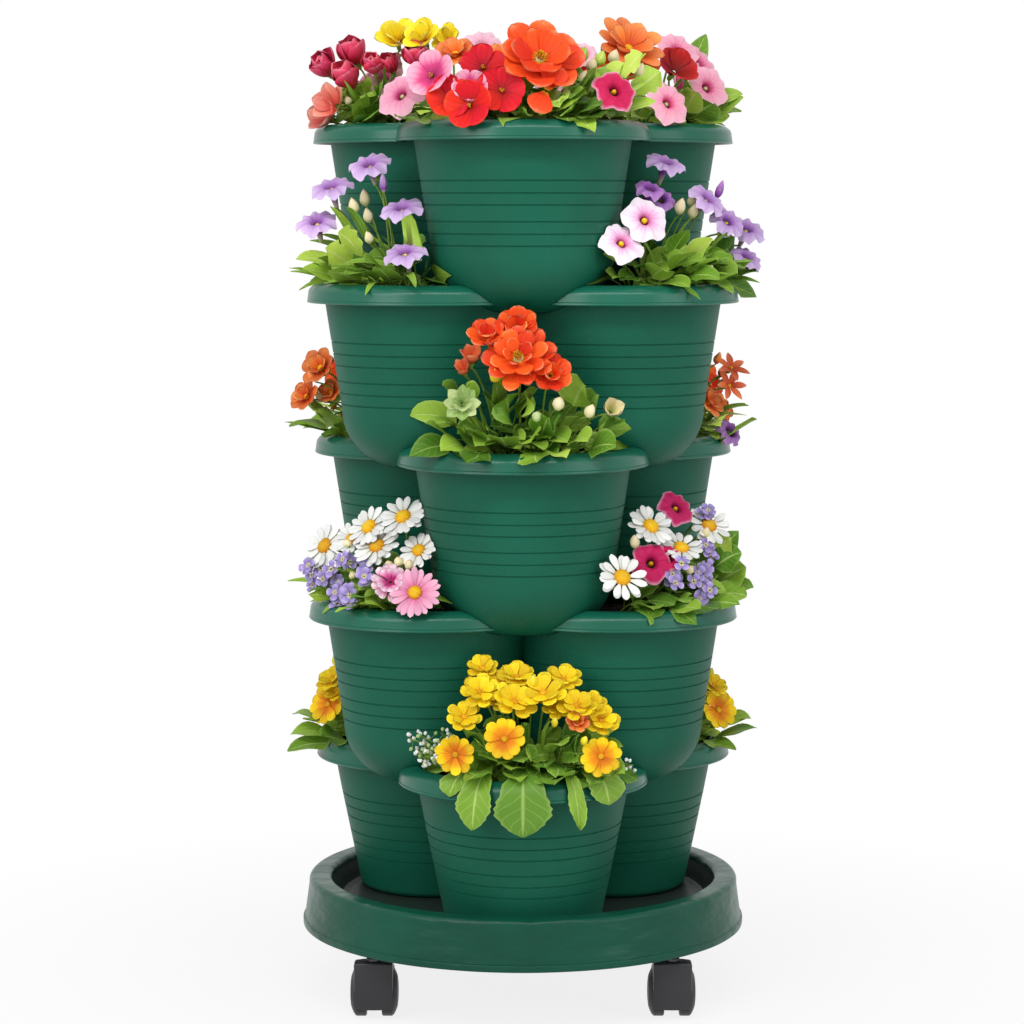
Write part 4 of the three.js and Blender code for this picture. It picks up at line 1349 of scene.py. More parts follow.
daisyForm = {"widest": 0.66, "fullness": 0.5, "cup": -0.2, "rows": 6, "columns": 5}
broadForm = {"widest": 0.66, "fullness": 0.52, "cup": 0.2, "ruffle": 1.1}
fringed = {"widest": 0.8, "fullness": 0.45, "cup": 0, "notch": 0.3, "ruffle": 1.2, "waves": 4}
cupped = {"widest": 0.58, "fullness": 0.6, "cup": 0.42, "ruffle": 0.9}
wrapped = {"widest": 0.6, "fullness": 0.44, "cup": 0.6, "ruffle": 0.6, "rows": 9, "columns": 9}
notched = {"widest": 0.7, "fullness": 0.46, "cup": 0.1, "notch": 0.18, "ruffle": 1}

leafLooks = {
    "ovate": {
        "length": 46, "width": 29, "widest": 0.42, "fullness": 0.78, "sag": (0.05, 0.4), "fold": 0.2,
        "wave": 1,
    },
    "round": {
        "length": 37, "width": 37, "widest": 0.5, "fullness": 0.55, "sag": (0.05, 0.35), "fold": 0.14,
        "wave": 2,
    },
    "serrated": {
        "length": 50, "width": 30, "widest": 0.5, "fullness": 0.7, "sag": (0.1, 0.45), "fold": 0.18,
        "wave": 1.5, "teeth": 0.22, "toothCount": 7, "rows": 15,
    },
    "strap": {
        "length": 62, "width": 9, "widest": 0.4, "fullness": 0.5, "sag": (0.05, 0.4), "fold": 0.3,
        "wave": 0.4,
    },
    "needle": {
        "length": 46, "width": 4.4, "widest": 0.4, "fullness": 0.5, "sag": (0, 0.25), "fold": 0.3,
        "wave": 0.2,
    },
    "fingered": {
        "length": 40, "width": 32, "widest": 0.62, "fullness": 0.6, "sag": (0.05, 0.3), "fold": 0.12,
        "wave": 1.2, "teeth": 0.4, "toothCount": 4, "rows": 17,
    },
}

bloomLooks = {
    "daisy": {
        "rings": [
            ring(11, 17.5, 7.6, 10, -14, "white", base=6.5, **daisyForm),
            ring(11, 17, 7.4, 17, -15, "white", base=6, height=0.8, **daisyForm),
        ],
        "dome": (8.4, 4.4, "gold"), "back": 5, "upward": 0.55,
    },
    "pinkDaisy": {
        "rings": [ring(19, 20, 7, 10, -14, "pinkDaisy", base=5, **daisyForm)],
        "dome": (6.8, 4, "gold"), "back": 5,
    },
    "largeRed": {
        "rings": [
            ring(8, 38, 28, 6, 14, "orangeRed", base=3, notch=0.05, rows=9, **broadForm),
            ring(6, 27, 23, 26, 16, "orangeRed", base=4, height=2, notch=0.05, **broadForm),
        ],
        "stamens": 24, "stamenLength": 11, "dome": (5.5, 3, "paleLeaf"), "back": 12,
    },
    "redDahlia": {
        "rings": [
            ring(9, 34, 20, 2, 14, "orangeRed", base=4, **broadForm),
            ring(8, 27, 17, 18, 16, "orangeRed", base=4, height=2, **broadForm),
            ring(5, 17, 13, 38, 18, "orangeRed", base=4.5, height=3, rows=6, **broadForm),
        ],
        "stamens": 30, "stamenLength": 11, "dome": (6.5, 3, "paleLeaf"), "back": 10,
    },
    "smallRed": {
        "rings": [
            ring(7, 20, 16, 20, 14, "orangeRed", base=2, **broadForm),
            ring(5, 13, 12, 46, 18, "orangeRed", base=1.5, height=1.5, rows=6, **broadForm),
        ],
        "back": 8,
    },
    "redHeart": {
        "rings": [ring(2, 27, 27, 14, -14, "orangeRed", base=1, notch=0.1, **broadForm)],
        "back": 6,
    },
    "zinnia": {
        "rings": [
            ring(10, 34, 18, 8, 8, "orange", base=4, notch=0.06, **broadForm),
            ring(8, 25, 15, 26, 10, "orange", base=3, height=2, **broadForm),
        ],
        "dome": (5, 4, "gold"), "back": 9, "upward": 0.6,
    },
    "smallOrange": {
        "rings": [
            ring(7, 15, 12, 14, 10, "orange", base=2, **broadForm),
            ring(5, 10, 9, 42, 10, "orange", base=1.5, height=1, rows=6, **broadForm),
        ],
        "dome": (3, 2.2, "gold"), "back": 6,
    },
    "geranium": {
        "rings": [
            ring(5, 23, 23, 14, 8, "red", base=1.5,
                 widest=0.66, fullness=0.48, cup=0.12, ruffle=1.3, notch=0.1),
        ],
        "stamens": 5, "stamenLength": 5, "back": 10,
    },
    "pinkGeranium": {
        "rings": [
            ring(5, 25, 25, 16, 8, "pink", base=1.5,
                 widest=0.68, fullness=0.48, cup=0.1, ruffle=1.5, notch=0.1),
        ],
        "stamens": 4, "stamenLength": 6, "back": 10,
    },
    "darkGeranium": {"rings": [ring(6, 22, 20, 30, 10, "darkRed", base=1.5, **broadForm)], "back": 10},
    "pinkPetunia": {
        "trumpet": 24, "finish": "pink", "ruffle": 1.8, "back": 20, "dome": (2, 2, "cream"),
        "domeLift": -4,
    },
    "palePetunia": {"trumpet": 21, "finish": "palePink", "ruffle": 1.8, "back": 18},
    "magentaPetunia": {
        "trumpet": 20, "finish": "magenta", "ruffle": 1.8, "back": 18, "dome": (2.2, 3, "gold"),
        "domeLift": -3,
    },
    "lavenderPetunia": {
        "trumpet": 21, "finish": "lavender", "ruffle": 2.4, "back": 24, "upward": 0.85,
        "dome": (2.4, 3, "yellow"), "domeLift": -5,
    },
    "violetPetunia": {"trumpet": 15, "finish": "violet", "ruffle": 2, "back": 18, "upward": 0.6},
    "lilacPetunia": {
        "trumpet": 23, "finish": "lilac", "ruffle": 2, "back": 20, "upward": 0.2,
        "dome": (2.8, 4, "yellow"), "domeLift": -4,
    },
    "rosebud": {
        "rings": [
            ring(3, 29, 26, 66, 62, "crimson", base=2.5, **wrapped),
            ring(4, 32, 30, 50, 58, "crimson", base=4, **wrapped),
            ring(2, 29, 27, 36, 50, "crimson", base=4.5, **wrapped),
        ],
        "sepals": 5, "back": 5, "upward": 0.8,
    },
    "salmonBud": {
        "rings": [ring(5, 25, 20, 40, 20, "salmon", base=3, **cupped)],
        "sepals": 4, "back": 6, "upward": 0.4,
    },
    "yellowCup": {
        "rings": [
            ring(3, 22, 19, 66, -6, "yellow", base=2, notch=0.08, **broadForm),
            ring(5, 27, 23, 44, -10, "yellow", base=2.5, notch=0.08, **broadForm),
        ],
        "stamens": 4, "stamenLength": 8, "back": 12, "upward": 0.4,
    },
    "primrose": {
        "rings": [
            ring(7, 17.5, 12, 8, 8, "primrose", base=2, **notched),
            ring(6, 14, 11, 26, 8, "primrose", base=1.8, height=0.8, **notched),
        ],
        "dome": (2.8, 2, "gold"), "back": 8, "upward": 0.75,
    },
    "goldPrimrose": {
        "rings": [ring(10, 17, 10, 8, 6, "goldPrimrose", base=2, **notched)],
        "dome": (3, 2, "gold"), "back": 8, "upward": 0.15,
    },
    "carnation": {
        "rings": [
            ring(13, 17, 8, 8, -8, "carnation", base=2, **fringed),
            ring(10, 13, 7, 30, -12, "carnation", base=1.5, height=1.5, **fringed),
        ],
        "back": 8,
    },
    "mauveFlower": {
        "rings": [
            ring(4, 8.4, 8, 14, -10, "mauve", base=0.8,
                 widest=0.64, fullness=0.5, cup=0.1, rows=5, columns=5),
        ],
        "back": 5, "stemRadius": 0.7,
    },
    "coralBud": {
        "rings": [ring(5, 20, 14, 58, 14, "coral", base=2.5, widest=0.5, fullness=0.65, cup=0.4)],
        "sepals": 6, "back": 5, "upward": 0.7,
    },
    "starFlower": {
        "rings": [ring(6, 19, 8, 20, -20, "coral", base=1.5, widest=0.45, fullness=0.75, cup=0.2)],
        "dome": (2, 2, "gold"), "back": 6,
    },
    "creamBloom": {
        "rings": [ring(4, 20, 17, 56, 16, "cream", base=2.5, **cupped)],
        "sepals": 4, "back": 5,
    },
    "rosette": {
        "rings": [
            ring(8, 18, 12, 14, 20, "paleLeaf", base=2, widest=0.5, fullness=0.8, cup=0.2),
            ring(6, 13, 9, 42, 20, "paleLeaf", base=1.5, height=1.5, widest=0.5, fullness=0.8, cup=0.2),
            ring(4, 8, 6, 66, 20, "paleLeaf", base=1, height=2.5,
                 widest=0.5, fullness=0.8, cup=0.2, rows=5),
        ],
        "back": 5,
    },
}

# Each pocket's turn from the front, its leaf kinds, how many there are and how tall they stand, and
# its blooms, buds and single leaves. A kind stands once before the places of neighbours in the list,
# which are millimetres sideways, outwards from the lobe's centre and above the rim's crest. A bloom's
# and a leaf's last number scales its size, a bud's last two are its length and width, a cluster's its
# count and radius, and a sprig's its count. A leaf has the finish "leaf" where none is named. A drape
# has its side, hang and width.
plantings = {
    "tier_5_plants_front": {
        "turn": 0,
        "leaves": (("ovate", "round"), 44, 26, ("leaf", "leaf", "limeLeaf")),
        "blooms": [
            ("geranium", (-70, 106, 18), (-50, 115, 12), (-38, 83, 48), (-20, 106, 26)),
            ("pinkGeranium", (-86, 92, 40)), ("pinkPetunia", (-118, 66, 24)),
            ("pinkGeranium", (-50, 104, 29, 0.75)),
            ("smallOrange", (-66, 20, 64, 1.3), (-22, 15, 60, 1.2)), ("palePetunia", (-40, -40, 76)),
            ("largeRed", (16, 88, 56)), ("redHeart", (22, 108, 26)),
            ("magentaPetunia", (88, 90, 27, 1.08)), ("smallOrange", (40, 60, 62, 1.1)),
            ("palePetunia", (30, -30, 38)), ("smallOrange", (-10, -60, 34)), ("geranium", (62, 14, 34)),
            ("palePetunia", (60, 10, 66, 0.7)),
        ],
        "buds": [
            ("cream", (55, 80, 32, 17, 12), (108, 56, 42, 15, 11), (86, 20, 56, 15, 11),
             (64, 60, 46, 14, 10)),
            ("limeLeaf", (72, 50, 52, 16, 11), (56, 40, 56, 16, 11)),
        ],
        "extraLeaves": [
            ("ovate", (46, 108, 10), (64, 104, 12, "deepLeaf"), (34, 104, 20, "limeLeaf")),
            ("fingered", (66, 70, 34, "limeLeaf")),
            ("strap", (60, 76, 26, "limeLeaf"), (72, 66, 30, "limeLeaf")), ("ovate", (84, 72, 24)),
            ("fingered", (118, 40, 34, "limeLeaf")), ("ovate", (106, 64, 12, "limeLeaf")),
            ("round", (-6, 112, 8), (-104, 82, -2)), ("ovate", (6, 100, 20, "deepLeaf")),
            ("round", (96, 54, 14)), ("ovate", (76, 88, 8)), ("strap", (100, 44, 44, "limeLeaf")),
            ("ovate", (48, 98, 26, "deepLeaf"), (60, 92, 34)), ("fingered", (102, 70, 50, "limeLeaf")),
            ("round", (78, 74, 40, "leaf", 0.8)),
            ("ovate", (90, 60, 50, "limeLeaf", 0.8), (54, 88, 46, "leaf", 0.8)),
            ("round", (66, 100, 4, "deepLeaf")), ("ovate", (-66, 96, 30), (-100, 44, 26, "deepLeaf")),
            ("round", (-30, 84, 30, "deepLeaf")), ("ovate", (100, 66, 26, "limeLeaf")),
            ("strap", (50, 84, 40, "leaf", 0.8)),
        ],
        "undergrowth": (84, -104),
    },
    "tier_5_plants_rear_right": {
        "turn": 120,
        "leaves": (("ovate", "round"), 44, 26, ("leaf", "leaf", "limeLeaf")),
        "blooms": [
            ("zinnia", (-86, -34, 74)),
            ("pinkPetunia", (-60, 42, 76), (-56, 72, 64), (-118, -6, 20), (-80, 66, 38)),
            ("darkGeranium", (-88, 20, 52, 1.1)), ("pinkPetunia", (25, 63, 60)),
            ("geranium", (50, 80, 30)), ("smallOrange", (0, 100, 30)),
            ("magentaPetunia", (-20, 95, 24)), ("smallRed", (-60, -10, 56, 1.3), (-70, -40, 54, 1.3)),
            ("pinkGeranium", (34, 104, 36)), ("geranium", (84, 62, 26)), ("palePetunia", (64, 98, 16)),
            ("smallOrange", (74, 20, 50)), ("pinkGeranium", (20, 6, 42)), ("geranium", (-24, -30, 36)),
        ],
        "buds": [("cream", (-40, 84, 46, 14, 10), (70, 60, 40, 14, 10))],
        "extraLeaves": [
            ("ovate", (-70, 90, 16), (-50, 100, 14), (-104, 30, 24, "limeLeaf")),
            ("round", (-96, 50, 14)), ("ovate", (-30, 84, 70)), ("round", (-84, 40, 34)),
            ("ovate", (-76, 60, 24), (-70, 10, 44)),
        ],
        "undergrowth": (84, -104),
    },
    "tier_5_plants_rear_left": {
        "turn": 240,
        "leaves": (("ovate", "round"), 44, 26, ("leaf", "leaf", "limeLeaf")),
        "blooms": [
            ("rosebud", (60, 90, 52, 0.9), (58, 56, 62), (74, 52, 38, 1.05), (76, 24, 52, 0.75),
             (72, -29, 57, 0.85)),
            ("salmonBud", (88, 62, 18, 1.05), (84, 72, 5)),
            ("yellowCup", (67, 2, 82, 0.9), (69, -31, 84, 0.85), (57, -53, 82, 0.7)),
            ("pinkPetunia", (-13, 69, 56)), ("geranium", (-55, 80, 26)), ("palePetunia", (10, 98, 26)),
            ("rosebud", (66, 8, 52, 0.7)), ("pinkGeranium", (-30, 102, 36)),
            ("geranium", (20, 108, 16)), ("palePetunia", (-84, 60, 30)),
            ("smallOrange", (-64, 98, 16), (-40, 20, 46)), ("geranium", (10, -10, 38)),
            ("pinkGeranium", (-60, -20, 40)),
        ],
        "buds": [("cream", (-60, 50, 46, 14, 10), (90, 46, 20, 10, 8))],
        "extraLeaves": [
            ("ovate", (88, 56, 10, "limeLeaf"), (96, 26, 14)), ("round", (102, 4, 12)),
            ("ovate", (92, 40, 24)), ("round", (100, 14, 4, "deepLeaf")),
            ("ovate", (80, 30, 34), (70, 70, 34, "deepLeaf"), (84, 10, 40)),
            ("round", (90, 30, 14, "deepLeaf")),
            ("ovate", (66, 50, 50, "limeLeaf", 0.7), (80, -10, 44, "deepLeaf")),
        ],
        "undergrowth": (84, -104),
    },
    "tier_4_plants_front_left": {
        "turn": 300,
        "leaves": (("ovate", "needle", "strap"), 58, 30, ("leaf", "leaf", "deepLeaf")),
        "blooms": [
            ("lavenderPetunia", (6, 73, 118), (-31, 97, 96), (-44, 107, 61), (50, 60, 75),
             (73, 69, 32)),
        ],
        "buds": [
            ("cream", (-5, 82, 68, 18, 11), (-10, 68, 76, 18, 11)), ("leaf", (8, 62, 100, 10, 10)),
            ("cream", (20, 80, 60, 16, 10)), ("lavender", (24, 66, 90, 20, 8)),
            ("cream", (30, 84, 40, 14, 9)),
        ],
        "extraLeaves": [
            ("fingered", (16, 98, 40, "limeLeaf"), (4, 104, 24, "limeLeaf")),
            ("ovate", (-36, 108, 24, "limeLeaf"), (54, 92, 22), (62, 84, 8), (40, 98, 12), (20, 108, 8),
             (-20, 112, 10), (76, 64, 50)),
            ("needle", (-44, 110, 10), (-54, 104, 8), (-34, 114, 8)),
            ("strap", (-10, 90, 56), (0, 84, 66)),
        ],
    },
    "tier_4_plants_front_right": {
        "turn": 60,
        "leaves": (("ovate", "ovate", "strap"), 58, 30, ("leaf", "leaf", "deepLeaf")),
        "blooms": [
            ("lavenderPetunia", (-4, 60, 120)), ("violetPetunia", (-42, 62, 94), (-28, 67, 84)),
            ("lilacPetunia", (-70, 72, 64), (-92, 58, 42)),
            ("lavenderPetunia", (15, 97, 84), (31, 112, 62, 0.9), (62, 118, 54, 0.9),
             (50, 124, 26, 0.8)),
        ],
        "buds": [
            ("cream", (-19, 82, 68, 18, 11), (4, 84, 64, 16, 10)), ("violet", (40, 94, 84, 20, 8)),
            ("cream", (10, 80, 76, 14, 9)),
        ],
        "extraLeaves": [
            ("ovate", (-44, 100, 26), (-70, 88, 16), (-58, 98, 4)),
            ("round", (-20, 110, 18), (4, 116, 10)),
            ("ovate", (26, 116, 22), (44, 112, 14), (64, 104, 18, "limeLeaf"), (22, 110, 44),
             (-30, 90, 44), (40, 110, 34, "deepLeaf"), (-6, 100, 34, "limeLeaf")),
        ],
    },
    "tier_4_plants_rear": {
        "turn": 180,
        "leaves": (("ovate", "strap"), 50, 30, ("leaf", "leaf", "deepLeaf")),
        "blooms": [
            ("lavenderPetunia", (0, 75, 90)), ("lilacPetunia", (-44, 100, 44)),
            ("violetPetunia", (50, 88, 54)), ("lavenderPetunia", (20, 100, 50)),
            ("lilacPetunia", (-50, 70, 70)),
        ],
        "buds": [("cream", (0, 84, 60, 16, 10), (60, 70, 40, 16, 10))],
        "extraLeaves": [("ovate", (30, 110, 8)), ("round", (-30, 108, 12)), ("ovate", (0, 112, 20))],
        "undergrowth": (40, -14),
    },
    "tier_3_plants_front": {
        "turn": 0,
        "leaves": (("ovate", "ovate", "round"), 44, 34, ("leaf", "leaf", "deepLeaf")),
        "blooms": [
            ("redDahlia", (-4, 93, 90)),
            ("smallRed", (-6, 72, 118, 1.1), (-34, 76, 110), (26, 96, 74, 1.1)),
            ("coralBud", (-50, 83, 86), (-56, 86, 76, 0.8)), ("rosette", (-59, 96, 46)),
            ("creamBloom", (84, 84, 38, 0.9)),
        ],
        "buds": [
            ("cream", (33, 104, 42, 16, 12), (62, 96, 34, 17, 11)), ("paleLeaf", (13, 108, 32, 12, 10)),
            ("yellow", (-26, 96, 68, 16, 12)),
        ],
        "extraLeaves": [
            ("ovate", (-69, 98, 29, "leaf", 1.1), (-66, 106, 10, "leaf", 1.05), (-47, 108, 21),
             (-46, 120, -4, "deepLeaf", 1.05), (-19, 115, 12, "leaf", 1.2)),
            ("round", (12, 122, -6)), ("ovate", (-32, 82, 46, "deepLeaf", 1.1)),
            ("round", (-14, 86, 42, "deepLeaf")), ("ovate", (4, 92, 50)),
            ("round", (54, 82, 58, "leaf", 1.15), (66, 78, 48, "deepLeaf")),
            ("ovate", (56, 108, 18), (76, 102, 8, "leaf", 1.1), (38, 116, 2, "limeLeaf", 0.7)),
            ("round", (-70, 74, 56, "deepLeaf")), ("ovate", (21, 104, 26, "leaf", 1.1)),
            ("round", (33, 96, 30, "deepLeaf")),
            ("ovate", (-54, 90, 66, "leaf", 0.7), (-26, 90, 64), (-80, 90, 20),
             (86, 88, 24, "deepLeaf")),
        ],
    },
    "tier_3_plants_rear_right": {
        "turn": 120,
        "leaves": (("ovate", "strap"), 40, 26, ("leaf", "limeLeaf")),
        "blooms": [
            ("starFlower", (-99, 84, 70), (-102, 80, 52)), ("smallOrange", (-92, 60, 35, 1.1)),
            ("violetPetunia", (-99, 84, 4)), ("geranium", (0, 80, 60)), ("smallOrange", (40, 90, 40)),
            ("smallRed", (-34, 96, 50), (20, 104, 30)), ("creamBloom", (66, 84, 34, 0.9)),
            ("geranium", (46, 74, 70)), ("smallOrange", (-50, 102, 24)),
        ],
        "buds": [
            ("coral", (-88, 78, 60, 16, 9)), ("cream", (-84, 80, 48, 14, 9)),
            ("orange", (-92, 70, 74, 14, 8)),
        ],
        "extraLeaves": [
            ("ovate", (-106, 84, 8)), ("strap", (-96, 80, 30)),
            ("ovate", (-98, 70, 22, "limeLeaf"), (-104, 76, 2, "limeLeaf"), (-96, 66, 44, "leaf", 0.8)),
        ],
        "undergrowth": (52, -14),
    },
    "tier_3_plants_rear_left": {
        "turn": 240,
        "leaves": (("ovate", "strap"), 40, 26, ("leaf", "limeLeaf")),
        "blooms": [
            ("smallOrange", (96, 79, 70, 1.35), (100, 94, 40, 1.15), (84, 74, 44, 0.9)),
            ("geranium", (-10, 84, 58)), ("smallRed", (-50, 84, 36)), ("smallOrange", (20, 104, 34)),
            ("creamBloom", (-74, 74, 36, 0.9)), ("smallRed", (36, 90, 60)), ("geranium", (-40, 80, 74)),
            ("smallRed", (-14, 108, 22)),
        ],
        "buds": [("cream", (84, 84, 34, 14, 9)), ("orange", (100, 84, 56, 14, 9))],
        "extraLeaves": [
            ("ovate", (96, 92, 12), (92, 64, 2), (98, 84, 26, "limeLeaf")), ("round", (92, 70, 14)),
            ("strap", (96, 84, 6)), ("ovate", (94, 74, 50, "leaf", 0.8)),
        ],
        "undergrowth": (52, -14),
    },
    "tier_2_plants_front_left": {
        "turn": 300,
        "leaves": (("serrated", "ovate", "strap"), 54, 26, ("leaf", "leaf", "deepLeaf")),
        "blooms": [
            ("daisy", (54, 62, 90), (19, 82, 78), (36, 82, 60, 1.05), (-40, 102, 54),
             (72, 54, 58, 0.85)),
            ("carnation", (73, 86, 28)), ("pinkDaisy", (97, 72, 20, 1.05)), ("daisy", (2, 92, 66, 0.8)),
        ],
        "clusters": [
            ("mauveFlower", (10, 98, 44, 4, 12), (40, 100, 34, 4, 10), (-39, 114, 26, 6, 14),
             (8, 114, 10, 4, 9), (28, 110, 10, 5, 9), (-20, 110, 30, 3, 12)),
        ],
        "buds": [
            ("cream", (64, 72, 42, 12, 10), (56, 78, 38, 12, 10), (74, 66, 40, 12, 10),
             (22, 100, 28, 9, 8), (10, 100, 58, 9, 8)),
        ],
        "extraLeaves": [
            ("strap", (44, 108, 6, "limeLeaf")), ("ovate", (30, 116, 2, "limeLeaf", 0.7)),
            ("strap", (0, 96, 34), (10, 92, 30), (20, 92, 24)),
            ("ovate", (92, 60, 4), (-36, 112, 4, "limeLeaf", 0.8)), ("strap", (-10, 100, 20)),
            ("ovate", (60, 96, 10)),
        ],
    },
    "tier_2_plants_front_right": {
        "turn": 60,
        "leaves": (("serrated", "ovate", "round"), 54, 26, ("leaf", "leaf", "deepLeaf")),
        "blooms": [
            ("magentaPetunia", (-6, 75, 96), (-61, 76, 46)),
            ("daisy", (-45, 66, 80, 1.0), (34, 91, 75), (-25, 90, 58), (-97, 62, 34, 1.06)),
            ("magentaPetunia", (-44, 86, 50, 0.7)),
        ],
        "clusters": [
            ("mauveFlower", (-46, 97, 30, 5, 11), (0, 103, 30, 7, 14), (-18, 110, 13, 5, 12),
             (24, 98, 50, 4, 11), (36, 86, 90, 3, 8)),
        ],
        "buds": [("cream", (-67, 60, 60, 15, 10), (-30, 100, 34, 10, 9), (20, 92, 64, 12, 9))],
        "extraLeaves": [
            ("round", (42, 108, 42), (52, 110, 24)),
            ("serrated", (-52, 108, 2), (0, 116, 2), (-26, 114, -2, "deepLeaf")),
            ("ovate", (-80, 84, 6)), ("round", (34, 112, 8)), ("ovate", (56, 98, 50)),
            ("round", (46, 104, 58, "limeLeaf", 0.8)),
        ],
    },
    "tier_2_plants_rear": {
        "turn": 180,
        "leaves": (("serrated", "ovate"), 50, 26, ("leaf", "leaf", "deepLeaf")),
        "blooms": [
            ("daisy", (0, 88, 70), (-50, 86, 54), (44, 104, 32)), ("magentaPetunia", (30, 78, 76)),
            ("daisy", (-20, 102, 40)), ("pinkDaisy", (70, 82, 40)),
        ],
        "clusters": [("mauveFlower", (-10, 108, 20, 6, 14), (-60, 96, 20, 5, 13))],
        "buds": [("cream", (10, 96, 46, 10, 9))],
        "extraLeaves": [("serrated", (0, 116, 4)), ("round", (50, 100, 10))],
        "undergrowth": (40, -14),
    },
    "tier_1_plants_front": {
        "turn": 0,
        "leaves": (("round", "serrated", "ovate"), 54, 38, ("leaf", "leaf", "deepLeaf")),
        "blooms": [
            ("primrose", (-40, 59, 104, 0.9), (-6, 69, 96, 1.0), (40, 69, 94, 1.0), (-42, 83, 84, 1.05),
             (-8, 93, 76, 1.25), (20, 90, 84, 1.25), (52, 92, 72, 1.15), (76, 84, 56, 1.1),
             (-57, 88, 60)),
            ("goldPrimrose", (-18, 114, 43, 1.1), (-66, 104, 26, 1.05), (76, 104, 24, 1.05)),
            ("smallOrange", (53, 100, 58, 0.8)),
            ("primrose", (-26, 78, 78, 0.9), (32, 84, 70, 0.9), (66, 80, 70, 0.9), (-24, 70, 90, 0.9)),
        ],
        "sprigs": [(-92, 72, 22, 9), (92, 84, 8, 3)],
        "buds": [("yellow", (10, 84, 88, 14, 9), (30, 108, 54, 12, 7), (58, 104, 36, 12, 7))],
        "drapes": [
            (-43, 26, 37, "leaf"), (0, 30, 56, "deepLeaf"), (48, 22, 19, "leaf"), (76, 4, 46, "leaf"),
            (-64, -6, 34, "leaf"),
        ],
        "extraLeaves": [
            ("strap", (-30, 100, 44, "leaf", 0.8)), ("serrated", (34, 104, 40)),
            ("round", (50, 96, 40, "deepLeaf")), ("strap", (22, 100, 46), (44, 104, 28)),
            ("serrated", (-36, 100, 30), (20, 106, 20, "deepLeaf")),
            ("ovate", (-10, 108, 16), (64, 104, 22)), ("serrated", (-48, 96, 46)),
            ("strap", (2, 96, 52)),
        ],
    },
    "tier_1_plants_rear_right": {
        "turn": 120,
        "leaves": (("serrated", "ovate"), 42, 24, ("leaf", "limeLeaf")),
        "blooms": [
            ("primrose", (-98, 66, 60, 0.9)), ("goldPrimrose", (-101, 70, 34, 1.15)),
            ("primrose", (0, 80, 60), (40, 88, 40), (-40, 92, 44), (-20, 74, 76, 1.1),
             (26, 78, 70, 1.1)),
            ("goldPrimrose", (10, 106, 24, 1.1), (-60, 98, 26)), ("primrose", (64, 78, 50)),
            ("smallOrange", (44, 102, 14, 0.8)), ("primrose", (0, 92, 46)),
        ],
        "buds": [("yellow", (-94, 62, 66, 14, 9))],
        "extraLeaves": [
            ("ovate", (-102, 90, 26), (-102, 90, 8)), ("strap", (-100, 72, 40)),
            ("ovate", (-100, 74, 16, "limeLeaf"), (-106, 70, -2)),
            ("round", (-98, 80, 40, "leaf", 0.7)),
        ],
        "undergrowth": (52, -14),
    },
    "tier_1_plants_rear_left": {
        "turn": 240,
        "leaves": (("serrated", "ovate"), 42, 24, ("leaf", "limeLeaf")),
        "blooms": [
            ("primrose", (98, 66, 66, 0.9)), ("goldPrimrose", (100, 70, 40, 1.15)),
            ("primrose", (0, 84, 58), (-40, 88, 36), (50, 90, 48), (94, 60, 54, 0.9), (24, 76, 76, 1.1),
             (-26, 78, 72, 1.1)),
            ("goldPrimrose", (-12, 106, 24, 1.1), (58, 100, 26)),
            ("primrose", (-66, 76, 52), (12, 94, 44)),
        ],
        "buds": [("yellow", (94, 62, 80, 14, 9))],
        "extraLeaves": [
            ("ovate", (102, 90, 28), (102, 92, 12)), ("strap", (100, 72, 40)),
            ("ovate", (100, 80, 22, "limeLeaf")), ("round", (98, 66, 4)), ("ovate", (104, 86, -2)),
        ],
        "undergrowth": (52, -14),
    },
}


def each(runs):
    for kind, *places in runs:
        for place in places:
            yield kind, *place


def plantPocket(node, planting, seed):
    tier = int(node.split("_")[1])
    plants = PocketPlants(seed, tier < tiers["count"], planting["turn"])
    kinds, count, height, greens = planting["leaves"]
    plants.addFoliage(kinds, count, height, greens)
    for bloom in each(planting["blooms"]):
        plants.addBloom(*bloom)
    for cluster in each(planting.get("clusters", [])):
        plants.addCluster(*cluster)
    for sprig in planting.get("sprigs", []):
        plants.addSprig(*sprig)
    for bud in each(planting["buds"]):
        plants.addStalkedBud(*bud)
    for leaf in each(planting["extraLeaves"]):
        plants.addSingleLeaf(*leaf)
    for drape in planting.get("drapes", []):
        plants.addDrape(*drape)
    if "undergrowth" in planting:
        plants.addUndergrowth(kinds, *planting["undergrowth"], greens)
    mesh = plants.build(node, tierMatrix(tier) @ Matrix.Rotation(pocketTurn(node), 4, "Z"))
    piece = addPiece(node.replace("plants", "planting"), mesh, list(finishes.values()), 180)
    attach(piece, f"tier_{tier}")
    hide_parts(node)
    return len(mesh.polygons)


def pocketTurn(node):
    # the pockets of a tier follow each other round it, a third of a turn apart
    order = ("front", "rear_right", "rear_left", "front_right", "rear", "front_left")
    return math.tau / 3 * (order.index(node.split("plants_")[1]) % 3)


faceCount = 0
for number, (node, planting) in enumerate(plantings.items()):
    faceCount += plantPocket(node, planting, number + 11)
print("planting made,", faceCount, "faces")


# the floor, the light and the camera
studio = {
    "floorSize": 8,
    "floorColour": "f2f2f2",
    "floorFade": (0.3, 0.85),  # metres from the tower, where the paper starts to go white and is white
    "worldStrength": 0.42,
    "target": (0, 0, 0.5),
    "keyPower": 32,
    "fillPower": 13,
    "stripPower": 26,
}
view = {
    "lens": 106.8,
    "place": (0, -3.127, 0.8197),
    "tiltDown": 5.895,
    "shiftX": -0.0107,
}


def seenDirectly(tree):
    # 1 for what the camera sees, straight, in a gloss or through glass, and 0 for the light that
    # falls
    path = addNode(tree, "LightPath").outputs
    seen = path["Is Camera Ray"]
    for ray in ("Is Glossy Ray", "Is Transmission Ray"):
        seen = addNode(tree, "Math", {0: seen, 1: path[ray]}, operation="MAXIMUM")
    return seen


